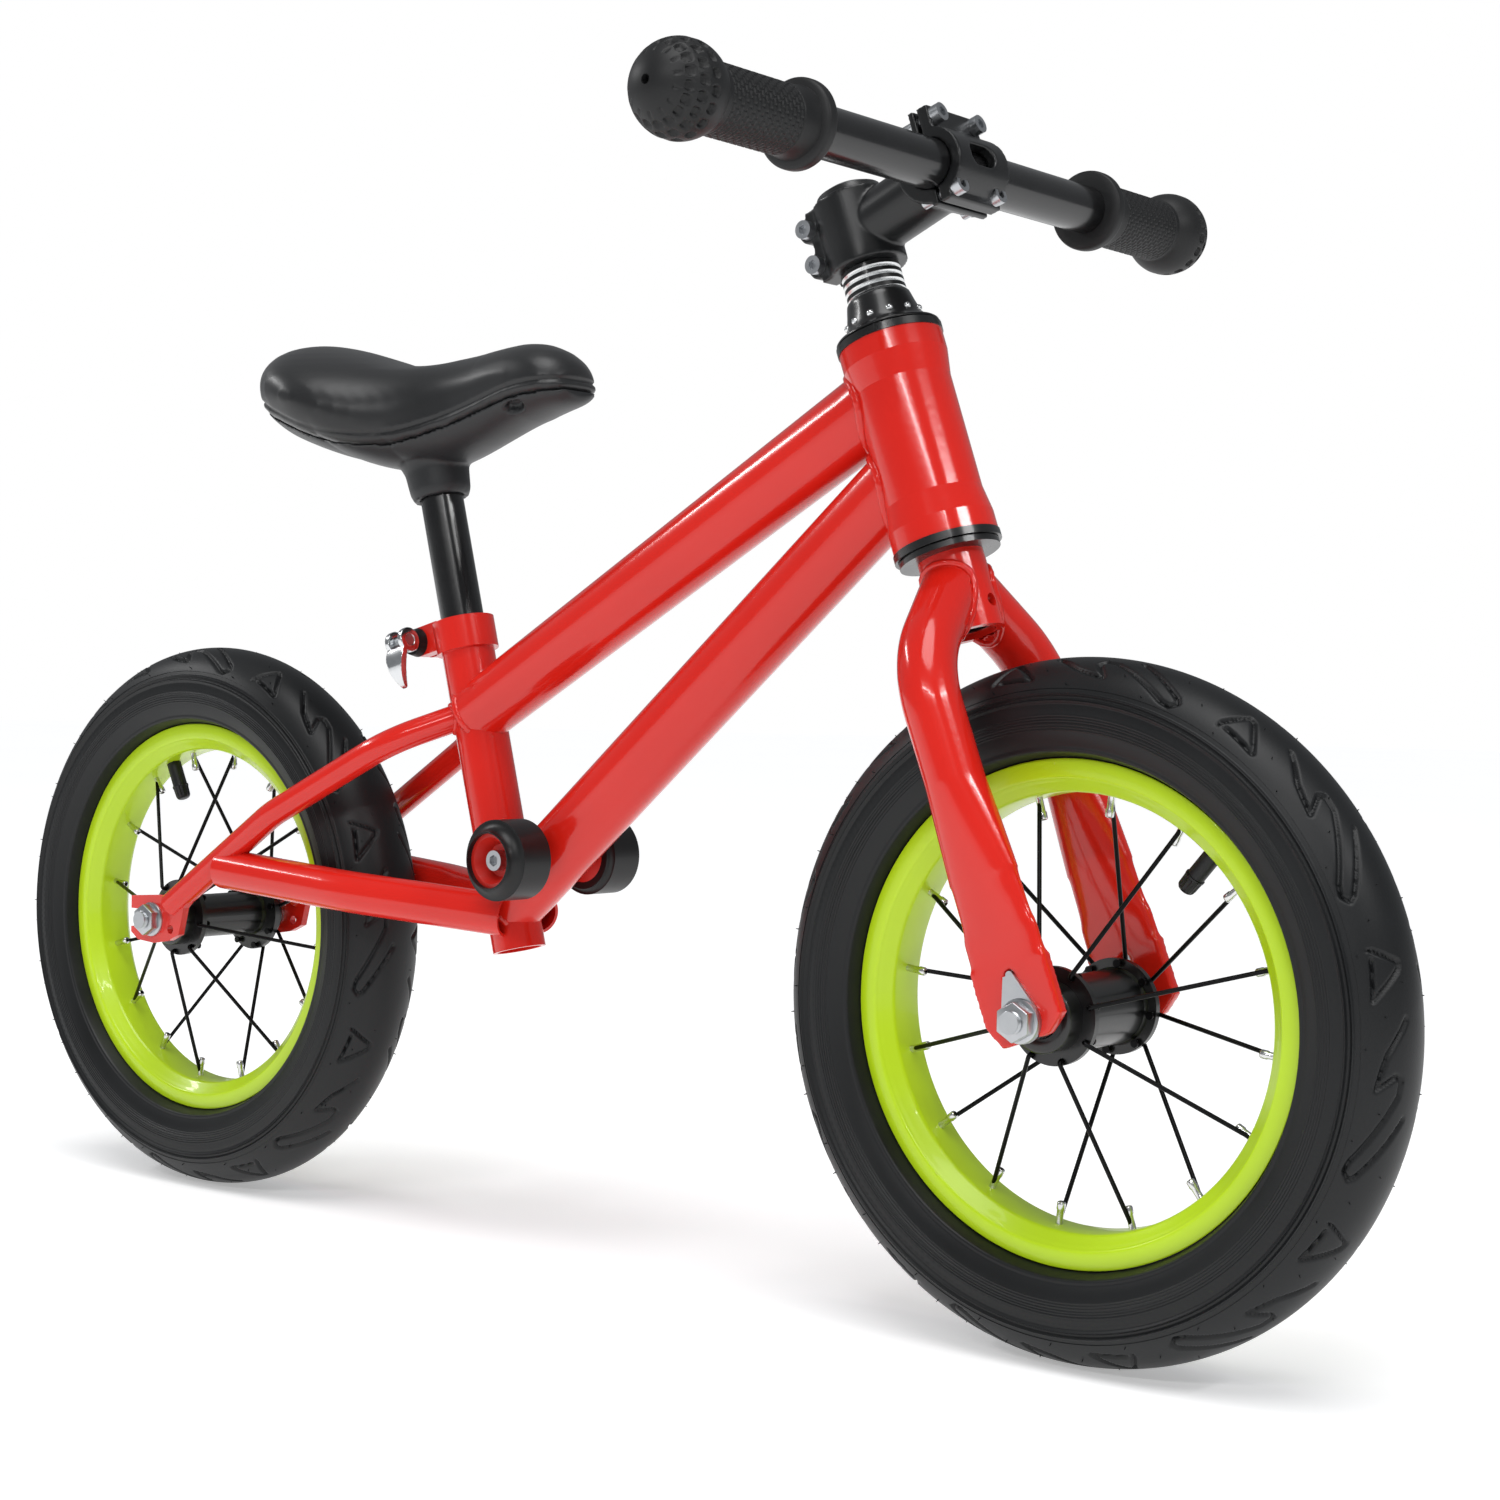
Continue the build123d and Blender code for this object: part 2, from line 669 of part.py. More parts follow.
    # The casing is open towards the rim, with a bead inside each rim flange.
    lip = bead_half - 0.15
    shoulder = rim_radius + 2.5
    outer_at = half_width_at(shoulder, tyre_centre, tyre_section_radius)
    inner_at = half_width_at(shoulder, tyre_centre, tyre_section_radius - tyre_wall)
    bead_inner = lip - tyre_wall - 0.4
    with BuildPart() as tyre:
        with BuildSketch(section) as casing:
            with BuildLine():
                Polyline(
                    (shoulder, outer_at), (rim_radius + 0.4, rim_width / 2 + 0.3),
                    (rim_radius + 0.3, lip), (bead_radius + 0.15, lip),
                    (bead_radius + 0.15, bead_inner), (rim_radius - 1, bead_inner),
                    (shoulder, inner_at),
                )
                ThreePointArc(
                    (shoulder, inner_at), (tyre_radius - tyre_wall, 0), (shoulder, -inner_at),
                )
                Polyline(
                    (shoulder, -inner_at), (rim_radius - 1, -bead_inner),
                    (bead_radius + 0.15, -bead_inner), (bead_radius + 0.15, -lip),
                    (rim_radius + 0.3, -lip), (rim_radius + 0.4, -rim_width / 2 - 0.3),
                    (shoulder, -outer_at),
                )
                ThreePointArc((shoulder, -outer_at), (tyre_radius, 0), (shoulder, outer_at))
            make_face()
        revolve(casing.sketch, axis=axis)
    save(tyre.part, f"{name}_tyre")

    valve_foot = tube_centre - tube_section_radius + tube_wall / 2
    with BuildPart() as inner_tube:
        with BuildSketch(section) as ring:
            with Locations((tube_centre, 0)):
                Circle(tube_section_radius)
                Circle(tube_section_radius - tube_wall, mode=Mode.SUBTRACT)
        revolve(ring.sketch, axis=axis)
        rod(axle_at + valve_way * (rim_bed_radius - valve_reach + 8), axle_at + valve_way * valve_foot,
            valve_diameter)
    save(inner_tube.part, f"{name}_inner_tube")

    cap_start = rim_bed_radius - valve_reach
    with BuildPart() as valve_cap:
        rod(axle_at + valve_way * cap_start, axle_at + valve_way * (cap_start + 8), valve_diameter + 1)
    save(valve_cap.part, f"{name}_valve_cap")


make_wheel(
    "front", front_axle_at, front_hub_barrel, front_flange_spacing, front_hub_width, front_spoke_phase, 1.5,
)
make_wheel(
    "rear", rear_axle_at, rear_hub_barrel, rear_flange_spacing, rear_hub_width, rear_spoke_phase, -2.5,
)


def make_axle(name, axle_at, hub_width, plate, washer):
    """A threaded axle with its cones and locknuts inside and a nut outside each plate."""
    section = axle_section(axle_at)
    hub_end = hub_width / 2
    plate_end = hub_end + plate
    washer_end = plate_end + washer
    tip = washer_end + axle_nut_height + axle_end_stub
    with BuildPart() as axle:
        rod(axle_at - Vector(0, tip, 0), axle_at + Vector(0, tip, 0), axle_diameter)
    save(axle.part, f"{name}_axle")
    with BuildPart() as cones:
        for side in (-1, 1):
            turn(section, [
                (axle_diameter / 2, side * (hub_end - 14)), (cone_radius, side * (hub_end - 14)),
                (cone_radius, side * (hub_end - 7)), (8.5, side * (hub_end - 7)),
                (8.5, side * hub_end), (axle_diameter / 2, side * hub_end),
            ])
    save(cones.part, f"{name}_cones")
    with BuildPart() as nuts:
        for side in (-1, 1):
            low = side * washer_end if side > 0 else side * (washer_end + axle_nut_height)
            hexagon_nut(section, low, axle_nut_height, axle_nut_width, axle_diameter)
    save(nuts.part, f"{name}_axle_nuts")


retainer_thickness = 1.6
make_axle("rear", rear_axle_at, rear_hub_width, dropout_thickness, 0)
make_axle("front", front_axle_at, front_hub_width, blade_tip_thickness, retainer_thickness)

# ---------------------------------------------------------------- fork
blade_inner = front_hub_width / 2
blade_middle = blade_inner + blade_tip_thickness / 2
flatten_start = 104.0
flatten_end = 34.0
blade_bend = 48.0

with BuildPart() as fork_crown:
    rod(on_steer(crown_bottom), on_steer(crown_top), crown_diameter, steerer_diameter)
    hole_level = crown_bottom + 11
    rod(on_steer(hole_level, -crown_diameter), on_steer(hole_level, crown_diameter),
        crown_hole_diameter, mode=Mode.SUBTRACT)
save(fork_crown.part, "fork_crown")

with BuildPart() as steerer_tube:
    rod(on_steer(crown_bottom + 3), on_steer(steerer_top), steerer_diameter, steerer_bore)
    rod(on_steer(hole_level, -crown_diameter), on_steer(hole_level, crown_diameter),
        crown_hole_diameter, mode=Mode.SUBTRACT)
save(steerer_tube.part, "steerer_tube")


blade_way = (on_steer(crown_bottom) - on_steer(0, fork_offset)).normalized()
blade_forward = Vector(blade_way.Z, 0, -blade_way.X)


def tip_plane(level, side):
    """Square to the straight of the blade, with local X forward and local Y to the left."""
    share = 1 - level / crown_bottom
    return Plane(
        origin=on_steer(level, fork_offset * share, side * blade_middle),
        x_dir=blade_forward, z_dir=blade_way,
    )


def blade_taper(side, inset, mode):
    """The stretch where the round tube is pressed out to a wide flat tip."""
    with BuildSketch(tip_plane(flatten_start, side)) as top:
        Ellipse(blade_diameter / 2 - inset, blade_diameter / 2 - inset)
    with BuildSketch(tip_plane(flatten_start - 0.5 * (flatten_start - flatten_end), side)) as middle:
        Ellipse(blade_diameter / 2 + 3.5 - inset, blade_diameter / 2 - 4.0 - inset)
    with BuildSketch(tip_plane(flatten_end, side)) as bottom:
        Ellipse(blade_tip_width / 2 - inset, blade_tip_thickness / 2 + 0.6 - inset / 2)
    loft([top.sketch, middle.sketch, bottom.sketch], mode=mode)


blade_trim_top = crown_top - 0.5
with BuildPart() as fork_blades:
    for side in sides.values():
        foot = tip_plane(flatten_start, side).origin
        knee = tip_plane(crown_bottom - 15, side).origin
        head = on_steer(crown_top - 13, 0, side * 5)
        bent_rod([foot, knee, head], blade_bend, blade_diameter, blade_diameter - 2 * blade_wall)
        blade_taper(side, 0, Mode.ADD)
        blade_taper(side, blade_wall, Mode.SUBTRACT)
        tip = tip_plane(0, side).origin
        with BuildSketch(Plane(origin=tip - Vector(0, blade_tip_thickness / 2, 0),
                               x_dir=blade_forward, z_dir=(0, -1, 0))) as flat:
            with BuildLine():
                half = blade_tip_width / 2
                corner = 9.0
                Polyline(
                    (-half, flatten_end + 6), (-half, 2), (-half + corner * 0.6, -blade_tip_drop),
                    (half - corner, -blade_tip_drop), (half, -2), (half, flatten_end + 6), close=True,
                )
            make_face()
            with Locations((0, hook_hole_height)):
                Circle(hook_hole_diameter / 2, mode=Mode.SUBTRACT)
            Circle(slot_width / 2, mode=Mode.SUBTRACT)
            with Locations((0, -blade_tip_drop)):
                Rectangle(slot_width, 2 * blade_tip_drop, mode=Mode.SUBTRACT)
        extrude(flat.sketch, amount=-blade_tip_thickness)
    trim_round(on_steer(crown_bottom), on_steer(crown_top + 30), crown_diameter)
    with BuildSketch(steer_plane(blade_trim_top)) as above:
        Rectangle(120, 120)
    extrude(above.sketch, amount=60, mode=Mode.SUBTRACT)
save(fork_blades.part, "fork_blades")

# A teardrop washer with a hook keeps the wheel in the slot if a nut works loose.
with BuildPart() as retention_washers:
    for side in sides.values():
        face = front_axle_at + Vector(0, side * (blade_inner + blade_tip_thickness), 0)
        outward = Vector(0, side, 0)
        plane = Plane(origin=face, x_dir=steer_forward * side, z_dir=outward)
        up_way = 1 if plane.y_dir.Z > 0 else -1
        with BuildSketch(plane) as drop:
            Circle(9.5)
            with BuildLine():
                Polyline((-9.2, up_way * 2.4), (-2.6, up_way * 19.5), (2.6, up_way * 19.5),
                         (9.2, up_way * 2.4), close=True)
            make_face()
            Circle(axle_diameter / 2 + 0.1, mode=Mode.SUBTRACT)
        extrude(drop.sketch, amount=retainer_thickness)
        hook_at = face + steer_up * hook_hole_height
        rod(hook_at - outward * 3, hook_at + outward * 0.5, hook_hole_diameter - 1.4)
save(retention_washers.part, "retention_washers")

# ---------------------------------------------------------------- headset
with BuildPart() as crown_race:
    turn(steer_section, [
        (steerer_diameter / 2, crown_top), (cup_flange_diameter / 2 - 1.5, crown_top),
        (cup_flange_diameter / 2 - 1.5, crown_top + race_height),
        (steerer_diameter / 2, crown_top + race_height),
    ])
save(crown_race.part, "crown_race")

headset_ball_circle = (cup_bore / 2 + steerer_diameter / 2) / 2
with BuildPart() as headset_balls:
    for level in (crown_top + race_height + headset_ball / 2 + 0.1,
                  cover_bottom - headset_ball / 2 - 0.1):
        for number in range(headset_ball_count):
            angle = number * 360 / headset_ball_count
            with Locations(on_steer(level, headset_ball_circle * cos(radians(angle)),
                                    headset_ball_circle * sin(radians(angle)))):
                Sphere(headset_ball / 2)
save(headset_balls.part, "headset_balls")

with BuildPart() as headset_cover:
    turn(steer_section, [
        (steerer_diameter / 2 + running_gap, cover_bottom),
        (cup_flange_diameter / 2 - 0.5, cover_bottom), (cup_flange_diameter / 2 - 0.5, cover_bottom + 2),
        (spacer_diameter / 2 + 4.0, cover_bottom + 3.0), (spacer_diameter / 2 + 0.8, cover_top - 1.5),
        (spacer_diameter / 2 - 0.4, cover_top), (steerer_diameter / 2 + running_gap, cover_top),
    ])
save(headset_cover.part, "headset_cover")

spacer_edge = 0.5
with BuildPart() as headset_spacers:
    for number in range(spacer_count):
        low = cover_top + number * spacer_thickness
        high = low + spacer_thickness
        turn(steer_section, [
            (steerer_diameter / 2 + running_gap, low), (spacer_diameter / 2 - spacer_edge, low),
            (spacer_diameter / 2, low + spacer_edge), (spacer_diameter / 2, high - spacer_edge),
            (spacer_diameter / 2 - spacer_edge, high), (steerer_diameter / 2 + running_gap, high),
        ])
save(headset_spacers.part, "headset_spacers")

# ---------------------------------------------------------------- stem
stem_bore = steerer_diameter + 2 * running_gap
bar_bore = bar_diameter
stem_bolt_diameter = 5.0
stem_bolt_head = 8.5
clamp_bolt_offset = stem_clamp_diameter / 2 + 0.5
clamp_bolt_levels = (stem_bottom + 8.5, stem_top - 8.5)
clamp_ear_half = 12.0
face_bolt_half_height = bar_clamp_diameter / 2 - 0.3
face_bolt_rise = 3.5
face_bolt_half_width = bar_clamp_width / 2 - 4.5
face_ear_front = 6.6
face_ear_end = 5.0
face_split = 0.8
bar_section = Plane(origin=bar_centre, x_dir=steer_forward, z_dir=(0, -1, 0))


def stem_bolt_places():
    """Head-side points and directions of the six equal stem bolts."""
    for level in clamp_bolt_levels:
        yield on_steer(level, -clamp_bolt_offset, -clamp_ear_half), Vector(0, 1, 0)
    for height in (-face_bolt_half_height, face_bolt_half_height):
        for left in (-face_bolt_half_width, face_bolt_half_width):
            yield (bar_centre + steer_up * (height + face_bolt_rise)
                   + steer_forward * face_ear_front + Vector(0, left, 0), -steer_forward)


with BuildPart() as stem_bolts:
    for seat, way in stem_bolt_places():
        rod(seat, seat + way * 17, stem_bolt_diameter)
        rod(seat - way * 4.5, seat, stem_bolt_head)
        with BuildSketch(Plane(origin=seat - way * 4.5, z_dir=way)) as key_socket:
            RegularPolygon(2.0, 6, major_radius=False)
        extrude(key_socket.sketch, amount=2.5, mode=Mode.SUBTRACT)
save(stem_bolts.part, "stem_bolts")

with BuildPart() as stem_body:
    rod(on_steer(stem_bottom), on_steer(stem_top), stem_clamp_diameter)
    with BuildSketch(steer_plane(stem_bottom)) as ears:
        with Locations((-clamp_bolt_offset / 2, 0)):
            Rectangle(clamp_bolt_offset, 2 * clamp_ear_half)
    extrude(ears.sketch, amount=stem_clamp_height)
    for level in clamp_bolt_levels:
        rod(on_steer(level, -clamp_bolt_offset, -clamp_ear_half),
            on_steer(level, -clamp_bolt_offset, clamp_ear_half), 2 * 6.0)
    rod(on_steer(bar_height - stem_rise), bar_centre, stem_extension_diameter)
    rod(bar_centre - Vector(0, bar_clamp_width / 2, 0), bar_centre + Vector(0, bar_clamp_width / 2, 0),
        bar_clamp_diameter)
    with BuildSketch(bar_section) as clamp_ears:
        with Locations((-1.5, face_bolt_rise)):
            Rectangle(5.0, 2 * (face_bolt_half_height + face_ear_end))
    extrude(clamp_ears.sketch, amount=bar_clamp_width / 2, both=True)
    with BuildSketch(bar_section) as front_half:
        with Locations((40 - face_split, 0)):
            Rectangle(80, 90)
    extrude(front_half.sketch, amount=40, both=True, mode=Mode.SUBTRACT)
    rod(bar_centre - Vector(0, 60, 0), bar_centre + Vector(0, 60, 0), bar_bore, mode=Mode.SUBTRACT)
    rod(on_steer(stem_bottom - 5), on_steer(stem_top + 5), stem_bore, mode=Mode.SUBTRACT)
    with BuildSketch(steer_plane(stem_bottom - 5)) as slit:
        with Locations((-stem_clamp_diameter / 2 - 8, 0)):
            Rectangle(stem_clamp_diameter, 2.0)
    extrude(slit.sketch, amount=stem_clamp_height + 10, mode=Mode.SUBTRACT)
    add(stem_bolts.part, mode=Mode.SUBTRACT)
save(stem_body.part, "stem_body")

window_height = 17.0
with BuildPart() as stem_faceplate:
    rod(bar_centre - Vector(0, bar_clamp_width / 2, 0), bar_centre + Vector(0, bar_clamp_width / 2, 0),
        bar_clamp_diameter - 2)
    with BuildSketch(bar_section) as face_ears:
        with Locations((face_ear_front / 2, face_bolt_rise)):
            Rectangle(face_ear_front, 2 * (face_bolt_half_height + face_ear_end))
    extrude(face_ears.sketch, amount=bar_clamp_width / 2, both=True)
    with BuildSketch(bar_section) as rear_half:
        with Locations((-40 + face_split, 0)):
            Rectangle(80, 90)
    extrude(rear_half.sketch, amount=40, both=True, mode=Mode.SUBTRACT)
    rod(bar_centre - Vector(0, 60, 0), bar_centre + Vector(0, 60, 0), bar_bore, mode=Mode.SUBTRACT)
    with BuildSketch(Plane(origin=bar_centre, x_dir=(0, 1, 0), z_dir=steer_forward)) as window:
        SlotOverall(window_height + 2, 10)
    extrude(window.sketch, amount=40, mode=Mode.SUBTRACT)
    add(stem_bolts.part, mode=Mode.SUBTRACT)
save(stem_faceplate.part, "stem_faceplate")

cap_height = 5.0
with BuildPart() as stem_top_cap:
    turn(steer_section, [
        (3.2, stem_top), (stem_clamp_diameter / 2 - 1.5, stem_top),
        (stem_clamp_diameter / 2 - 3.0, stem_top + 3.0), (11.0, stem_top + cap_height),
        (5.2, stem_top + cap_height), (5.2, stem_top + 1.2), (3.2, stem_top + 1.2),
    ])
save(stem_top_cap.part, "stem_top_cap")

star_nut_level = stem_top - 26.0
with BuildPart() as top_cap_bolt:
    turn(steer_section, [
        (0, star_nut_level - 3), (3.0, star_nut_level - 3), (3.0, stem_top + 1.2),
        (4.8, stem_top + 1.2), (4.8, stem_top + 4.6), (0, stem_top + 4.6),
    ])
    with BuildSketch(steer_plane(stem_top + 4.6)) as key_socket:
        RegularPolygon(2.5, 6, major_radius=False)
    extrude(key_socket.sketch, amount=-2.5, mode=Mode.SUBTRACT)
    turn(steer_section, [
        (3.05, star_nut_level), (steerer_bore / 2, star_nut_level),
        (steerer_bore / 2, star_nut_level + 2.0), (5.5, star_nut_level + 5.0),
        (3.05, star_nut_level + 5.0),
    ])
save(top_cap_bolt.part, "top_cap_bolt_and_star_nut")


# ---------------------------------------------------------------- handlebar and grips
with BuildPart() as handlebar:
    rod(bar_centre - Vector(0, bar_length / 2, 0), bar_centre + Vector(0, bar_length / 2, 0),
        bar_diameter, bar_diameter - 2 * bar_wall)
save(handlebar.part, "handlebar")

grip_end = overall_width / 2
grip_start = grip_end - grip_length
knob_radius = grip_knob_diameter / 2
body_radius = grip_body_diameter / 2
flange_radius = grip_flange_diameter / 2
grip_section = Plane(origin=bar_centre, x_dir=steer_forward, z_dir=steer_up)
for name, out in sides.items():
    with BuildPart() as grip:
        with BuildSketch(grip_section) as outline:
            with BuildLine():
                neck_end = out * (grip_start + 12.5)
                knob_start = out * (grip_end - 35)
                knob_wide = out * (grip_end - knob_radius)
                Polyline(
                    (3.0, out * grip_end), (3.0, out * (bar_length / 2)),
                    (bar_diameter / 2, out * (bar_length / 2)), (bar_diameter / 2, out * grip_start),
                    (flange_radius - 3, out * (grip_start + 0.5)),
                )
                RadiusArc(
                    (flange_radius - 3, out * (grip_start + 0.5)),
                    (flange_radius - 2, out * (grip_start + 6.5)), out * 3.2,
                )
                Line((flange_radius - 2, out * (grip_start + 6.5)), (body_radius, neck_end))
                Line((body_radius, neck_end), (body_radius, knob_start))
                Line((body_radius, knob_start), (knob_radius - 1, knob_wide - out * 7))
                ThreePointArc(
                    (knob_radius - 1, knob_wide - out * 7), (knob_radius, knob_wide),
                    (knob_radius * 0.72, knob_wide + out * knob_radius * 0.69),
                )
                ThreePointArc(
                    (knob_radius * 0.72, knob_wide + out * knob_radius * 0.69),
                    (knob_radius * 0.40, knob_wide + out * knob_radius * 0.93), (3.0, out * grip_end),
                )
            make_face()
        revolve(outline.sketch, axis=Axis(bar_centre, (0, 1, 0)))
    save(grip.part, f"grip_{name}")

# ---------------------------------------------------------------- seat post and saddle
socket_bottom = seat_tube_above + 1.5 + post_showing
post_top = socket_bottom + socket_height - 8
with BuildPart() as seat_post:
    rod(on_seat(seat_tube_above - post_insertion), on_seat(post_top), seat_post_diameter,
        seat_post_diameter - 2 * seat_post_wall)
save(seat_post.part, "seat_post")

# The saddle's sections, each a share of its length from the rear, with half its width
# as a share of the widest, and its lowest and highest points above the socket's foot.
saddle_rear = on_seat(socket_bottom).X - 114.0
saddle_foot = on_seat(socket_bottom).Z
height_scale = saddle_height / 56.0
saddle_sections = [
    (0.000, 0.22, 50, 72),
    (0.060, 0.62, 41, 81),
    (0.160, 0.92, 30, 84),
    (0.300, 1.00, 21, 76),
    (0.440, 0.80, 15, 68),
    (0.570, 0.56, 17, 67.5),
    (0.700, 0.44, 25, 71),
    (0.830, 0.41, 35, 76),
    (0.930, 0.37, 41, 74),
    (1.000, 0.14, 47, 62),
]
seam_points = [(-0.05, 54), (0.18, 42), (0.33, 28), (0.50, 25), (0.70, 37), (0.86, 48), (1.05, 52)]


def saddle_point(share, height):
    return saddle_rear + share * saddle_length, saddle_foot + height * height_scale


def seam_region():
    """Everything above the seam between the padded cover and the plastic base."""
    with BuildSketch(Plane.XZ) as region:
        with BuildLine():
            line = [saddle_point(share, height) for share, height in seam_points]
            top = saddle_foot + 200
            Polyline(*line, (line[-1][0], top), (line[0][0], top), close=True)
        make_face()
    return region.sketch


def saddle_body():
    sketches = []
    for share, width, low, high in saddle_sections:
        x, middle = saddle_point(share, (low + high) / 2)
        with BuildSketch(Plane(origin=(x, 0, middle), x_dir=(0, 1, 0), z_dir=(1, 0, 0))) as section:
            Ellipse(width * saddle_half_width, (high - low) / 2 * height_scale)
        sketches.append(section.sketch)
    loft(sketches)


with BuildPart() as saddle_cover:
    saddle_body()
    extrude(seam_region(), amount=100, both=True, mode=Mode.INTERSECT)
save(saddle_cover.part, "saddle_cover")

with BuildPart() as saddle_base:
    saddle_body()
    extrude(seam_region(), amount=100, both=True, mode=Mode.SUBTRACT)
    turn(seat_section, [
        (0, socket_bottom), (socket_diameter / 2, socket_bottom),
        (socket_diameter / 2 + 1.5, socket_bottom + 4), (socket_diameter / 2 + 2.5, socket_bottom + 15),
        (socket_top_diameter / 2, socket_bottom + socket_height), (0, socket_bottom + socket_height),
    ])
    rod(on_seat(socket_bottom - 5), on_seat(post_top), seat_post_diameter, mode=Mode.SUBTRACT)
    extrude(seam_region(), amount=100, both=True, mode=Mode.SUBTRACT)
save(saddle_base.part, "saddle_base")
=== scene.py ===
import json
from math import cos, pi, radians, sin

import bmesh
import bpy
import numpy as np
from mathutils import Matrix, Vector


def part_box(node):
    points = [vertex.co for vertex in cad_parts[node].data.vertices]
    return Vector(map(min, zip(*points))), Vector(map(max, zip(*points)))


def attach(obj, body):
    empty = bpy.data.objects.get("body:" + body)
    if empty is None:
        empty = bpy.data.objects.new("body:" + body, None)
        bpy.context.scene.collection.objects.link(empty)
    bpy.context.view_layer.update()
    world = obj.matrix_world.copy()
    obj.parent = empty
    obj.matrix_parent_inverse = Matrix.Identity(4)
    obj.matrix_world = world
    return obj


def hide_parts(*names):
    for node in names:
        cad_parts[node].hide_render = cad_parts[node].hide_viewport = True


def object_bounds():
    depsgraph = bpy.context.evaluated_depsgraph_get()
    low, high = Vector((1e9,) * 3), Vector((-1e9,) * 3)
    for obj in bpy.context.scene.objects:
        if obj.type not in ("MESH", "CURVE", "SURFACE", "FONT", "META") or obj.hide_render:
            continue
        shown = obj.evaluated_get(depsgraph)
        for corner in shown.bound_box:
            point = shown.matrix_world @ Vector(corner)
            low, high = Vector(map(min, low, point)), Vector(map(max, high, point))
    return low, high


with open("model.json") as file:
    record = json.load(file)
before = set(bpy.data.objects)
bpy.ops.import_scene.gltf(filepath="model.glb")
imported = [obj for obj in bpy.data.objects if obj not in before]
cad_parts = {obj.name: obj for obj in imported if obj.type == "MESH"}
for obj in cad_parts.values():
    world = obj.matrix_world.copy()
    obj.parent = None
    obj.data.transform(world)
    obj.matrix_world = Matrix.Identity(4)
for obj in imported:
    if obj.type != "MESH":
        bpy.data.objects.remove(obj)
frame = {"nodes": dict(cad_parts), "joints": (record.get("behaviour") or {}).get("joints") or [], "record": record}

# A child's balance bike: a welded and powder-coated steel frame on two 12 inch wheels.
# Metres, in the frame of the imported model: +X forward, +Y the rider's left, +Z up.
cad_low, cad_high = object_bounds()
MM = 0.001
body_of = {node: body for body, nodes in frame["record"]["behaviour"]["bodies"].items() for node in nodes}


# ---------------------------------------------------------------- camera
# A three-quarter view from the bike's front right, at hub height, with a normal lens.
def camera_at(place, yaw, pitch, roll, lens):
    """A camera with its heading, tilt and roll in degrees, on a 36 mm sensor."""
    look = Vector((cos(pitch) * cos(yaw), cos(pitch) * sin(yaw), sin(pitch)))
    level = look.cross(Vector((0, 0, 1))).normalized()
    right = cos(roll) * level + sin(roll) * level.cross(look)
    up = right.cross(look)
    camera = bpy.data.objects.new("camera", bpy.data.cameras.new("camera"))
    camera.data.lens = lens
    camera.matrix_world = Matrix.Translation(place) @ Matrix((right, up, -look)).transposed().to_4x4()
    bpy.context.scene.collection.objects.link(camera)
    bpy.context.scene.camera = camera


camera_at(Vector((0.85721, -0.94215, 0.28699)), radians(128.83), radians(-1.45), radians(1.18), 61.62)


# ---------------------------------------------------------------- floor and light
# A white paper sweep under a large soft sky, with strip lights for the streaks on the paint.
def linear(code):
    """An sRGB hex colour as linear red, green, blue and alpha."""
    parts = [int(code[i:i + 2], 16) / 255 for i in (1, 3, 5)]
    return [c / 12.92 if c <= 0.04045 else ((c + 0.055) / 1.055) ** 2.4 for c in parts] + [1.0]


def add_node(tree, kind, values=None, links=None, **settings):
    """Adds a node: settings are its options, values its own sockets, links what feeds it."""
    made = tree.nodes.new(kind)
    for option, value in settings.items():
        setattr(made, option, value)
    for socket, value in (values or {}).items():
        made.inputs[socket].default_value = value
    for socket, source in (links or {}).items():
        tree.links.new(source, made.inputs[socket])
    return made


def new_material(name, code, roughness, **values):
    """A Principled surface with its even values set; returns it, its tree and its shader."""
    material = bpy.data.materials.new(name)
    material.use_nodes = True
    tree = material.node_tree
    tree.nodes.clear()
    even = {"Base Color": linear(code), "Roughness": roughness}
    even.update({socket.replace("_", " "): value for socket, value in values.items()})
    shader = add_node(tree, "ShaderNodeBsdfPrincipled", even)
    add_node(tree, "ShaderNodeOutputMaterial", links={"Surface": shader.outputs["BSDF"]})
    return material, tree, shader


def link_object(name, mesh):
    made = bpy.data.objects.new(name, mesh)
    bpy.context.scene.collection.objects.link(made)
    return made


# Matt paper: white, with no shine, and a faint unevenness where it has been rolled.
paper, tree, shader = new_material("white_paper", "#F4F4F4", 0.9, Emission_Color=linear("#FFFFFF"),
                                   Emission_Strength=0.36)
place = add_node(tree, "ShaderNodeTexCoord")
mottle = add_node(tree, "ShaderNodeTexNoise", {"Scale": 1.5}, {"Vector": place.outputs["Object"]})
tone = add_node(tree, "ShaderNodeMix", {"A": linear("#F2F2F2"), "B": linear("#F6F6F6")},
                {"Factor": mottle.outputs["Fac"]}, data_type="RGBA")
tree.links.new(tone.outputs["Result"], shader.inputs["Base Color"])
sweep = bmesh.new()
bmesh.ops.create_circle(sweep, cap_ends=True, segments=96, radius=14.0,
                        matrix=Matrix.Translation((0, 0, cad_low.z - 0.0004)))
paper_mesh = bpy.data.meshes.new("paper_sweep")
sweep.to_mesh(paper_mesh)
sweep.free()
paper_mesh.materials.append(paper)
link_object("paper_sweep", paper_mesh)

world = bpy.data.worlds.new("studio")
bpy.context.scene.world = world
world.use_nodes = True
sky = world.node_tree
sky.nodes.clear()
seen = add_node(sky, "ShaderNodeBackground", {"Color": (1, 1, 1, 1), "Strength": 1.0})
cast = add_node(sky, "ShaderNodeBackground", {"Color": (0.93, 0.96, 1, 1), "Strength": 0.26})
ray = add_node(sky, "ShaderNodeLightPath")
mixed = add_node(sky, "ShaderNodeMixShader", links={
    0: ray.outputs["Is Camera Ray"], 1: cast.outputs["Background"], 2: seen.outputs["Background"]})
add_node(sky, "ShaderNodeOutputWorld", links={"Surface": mixed.outputs["Shader"]})
bpy.context.scene.view_settings.view_transform = "Standard"


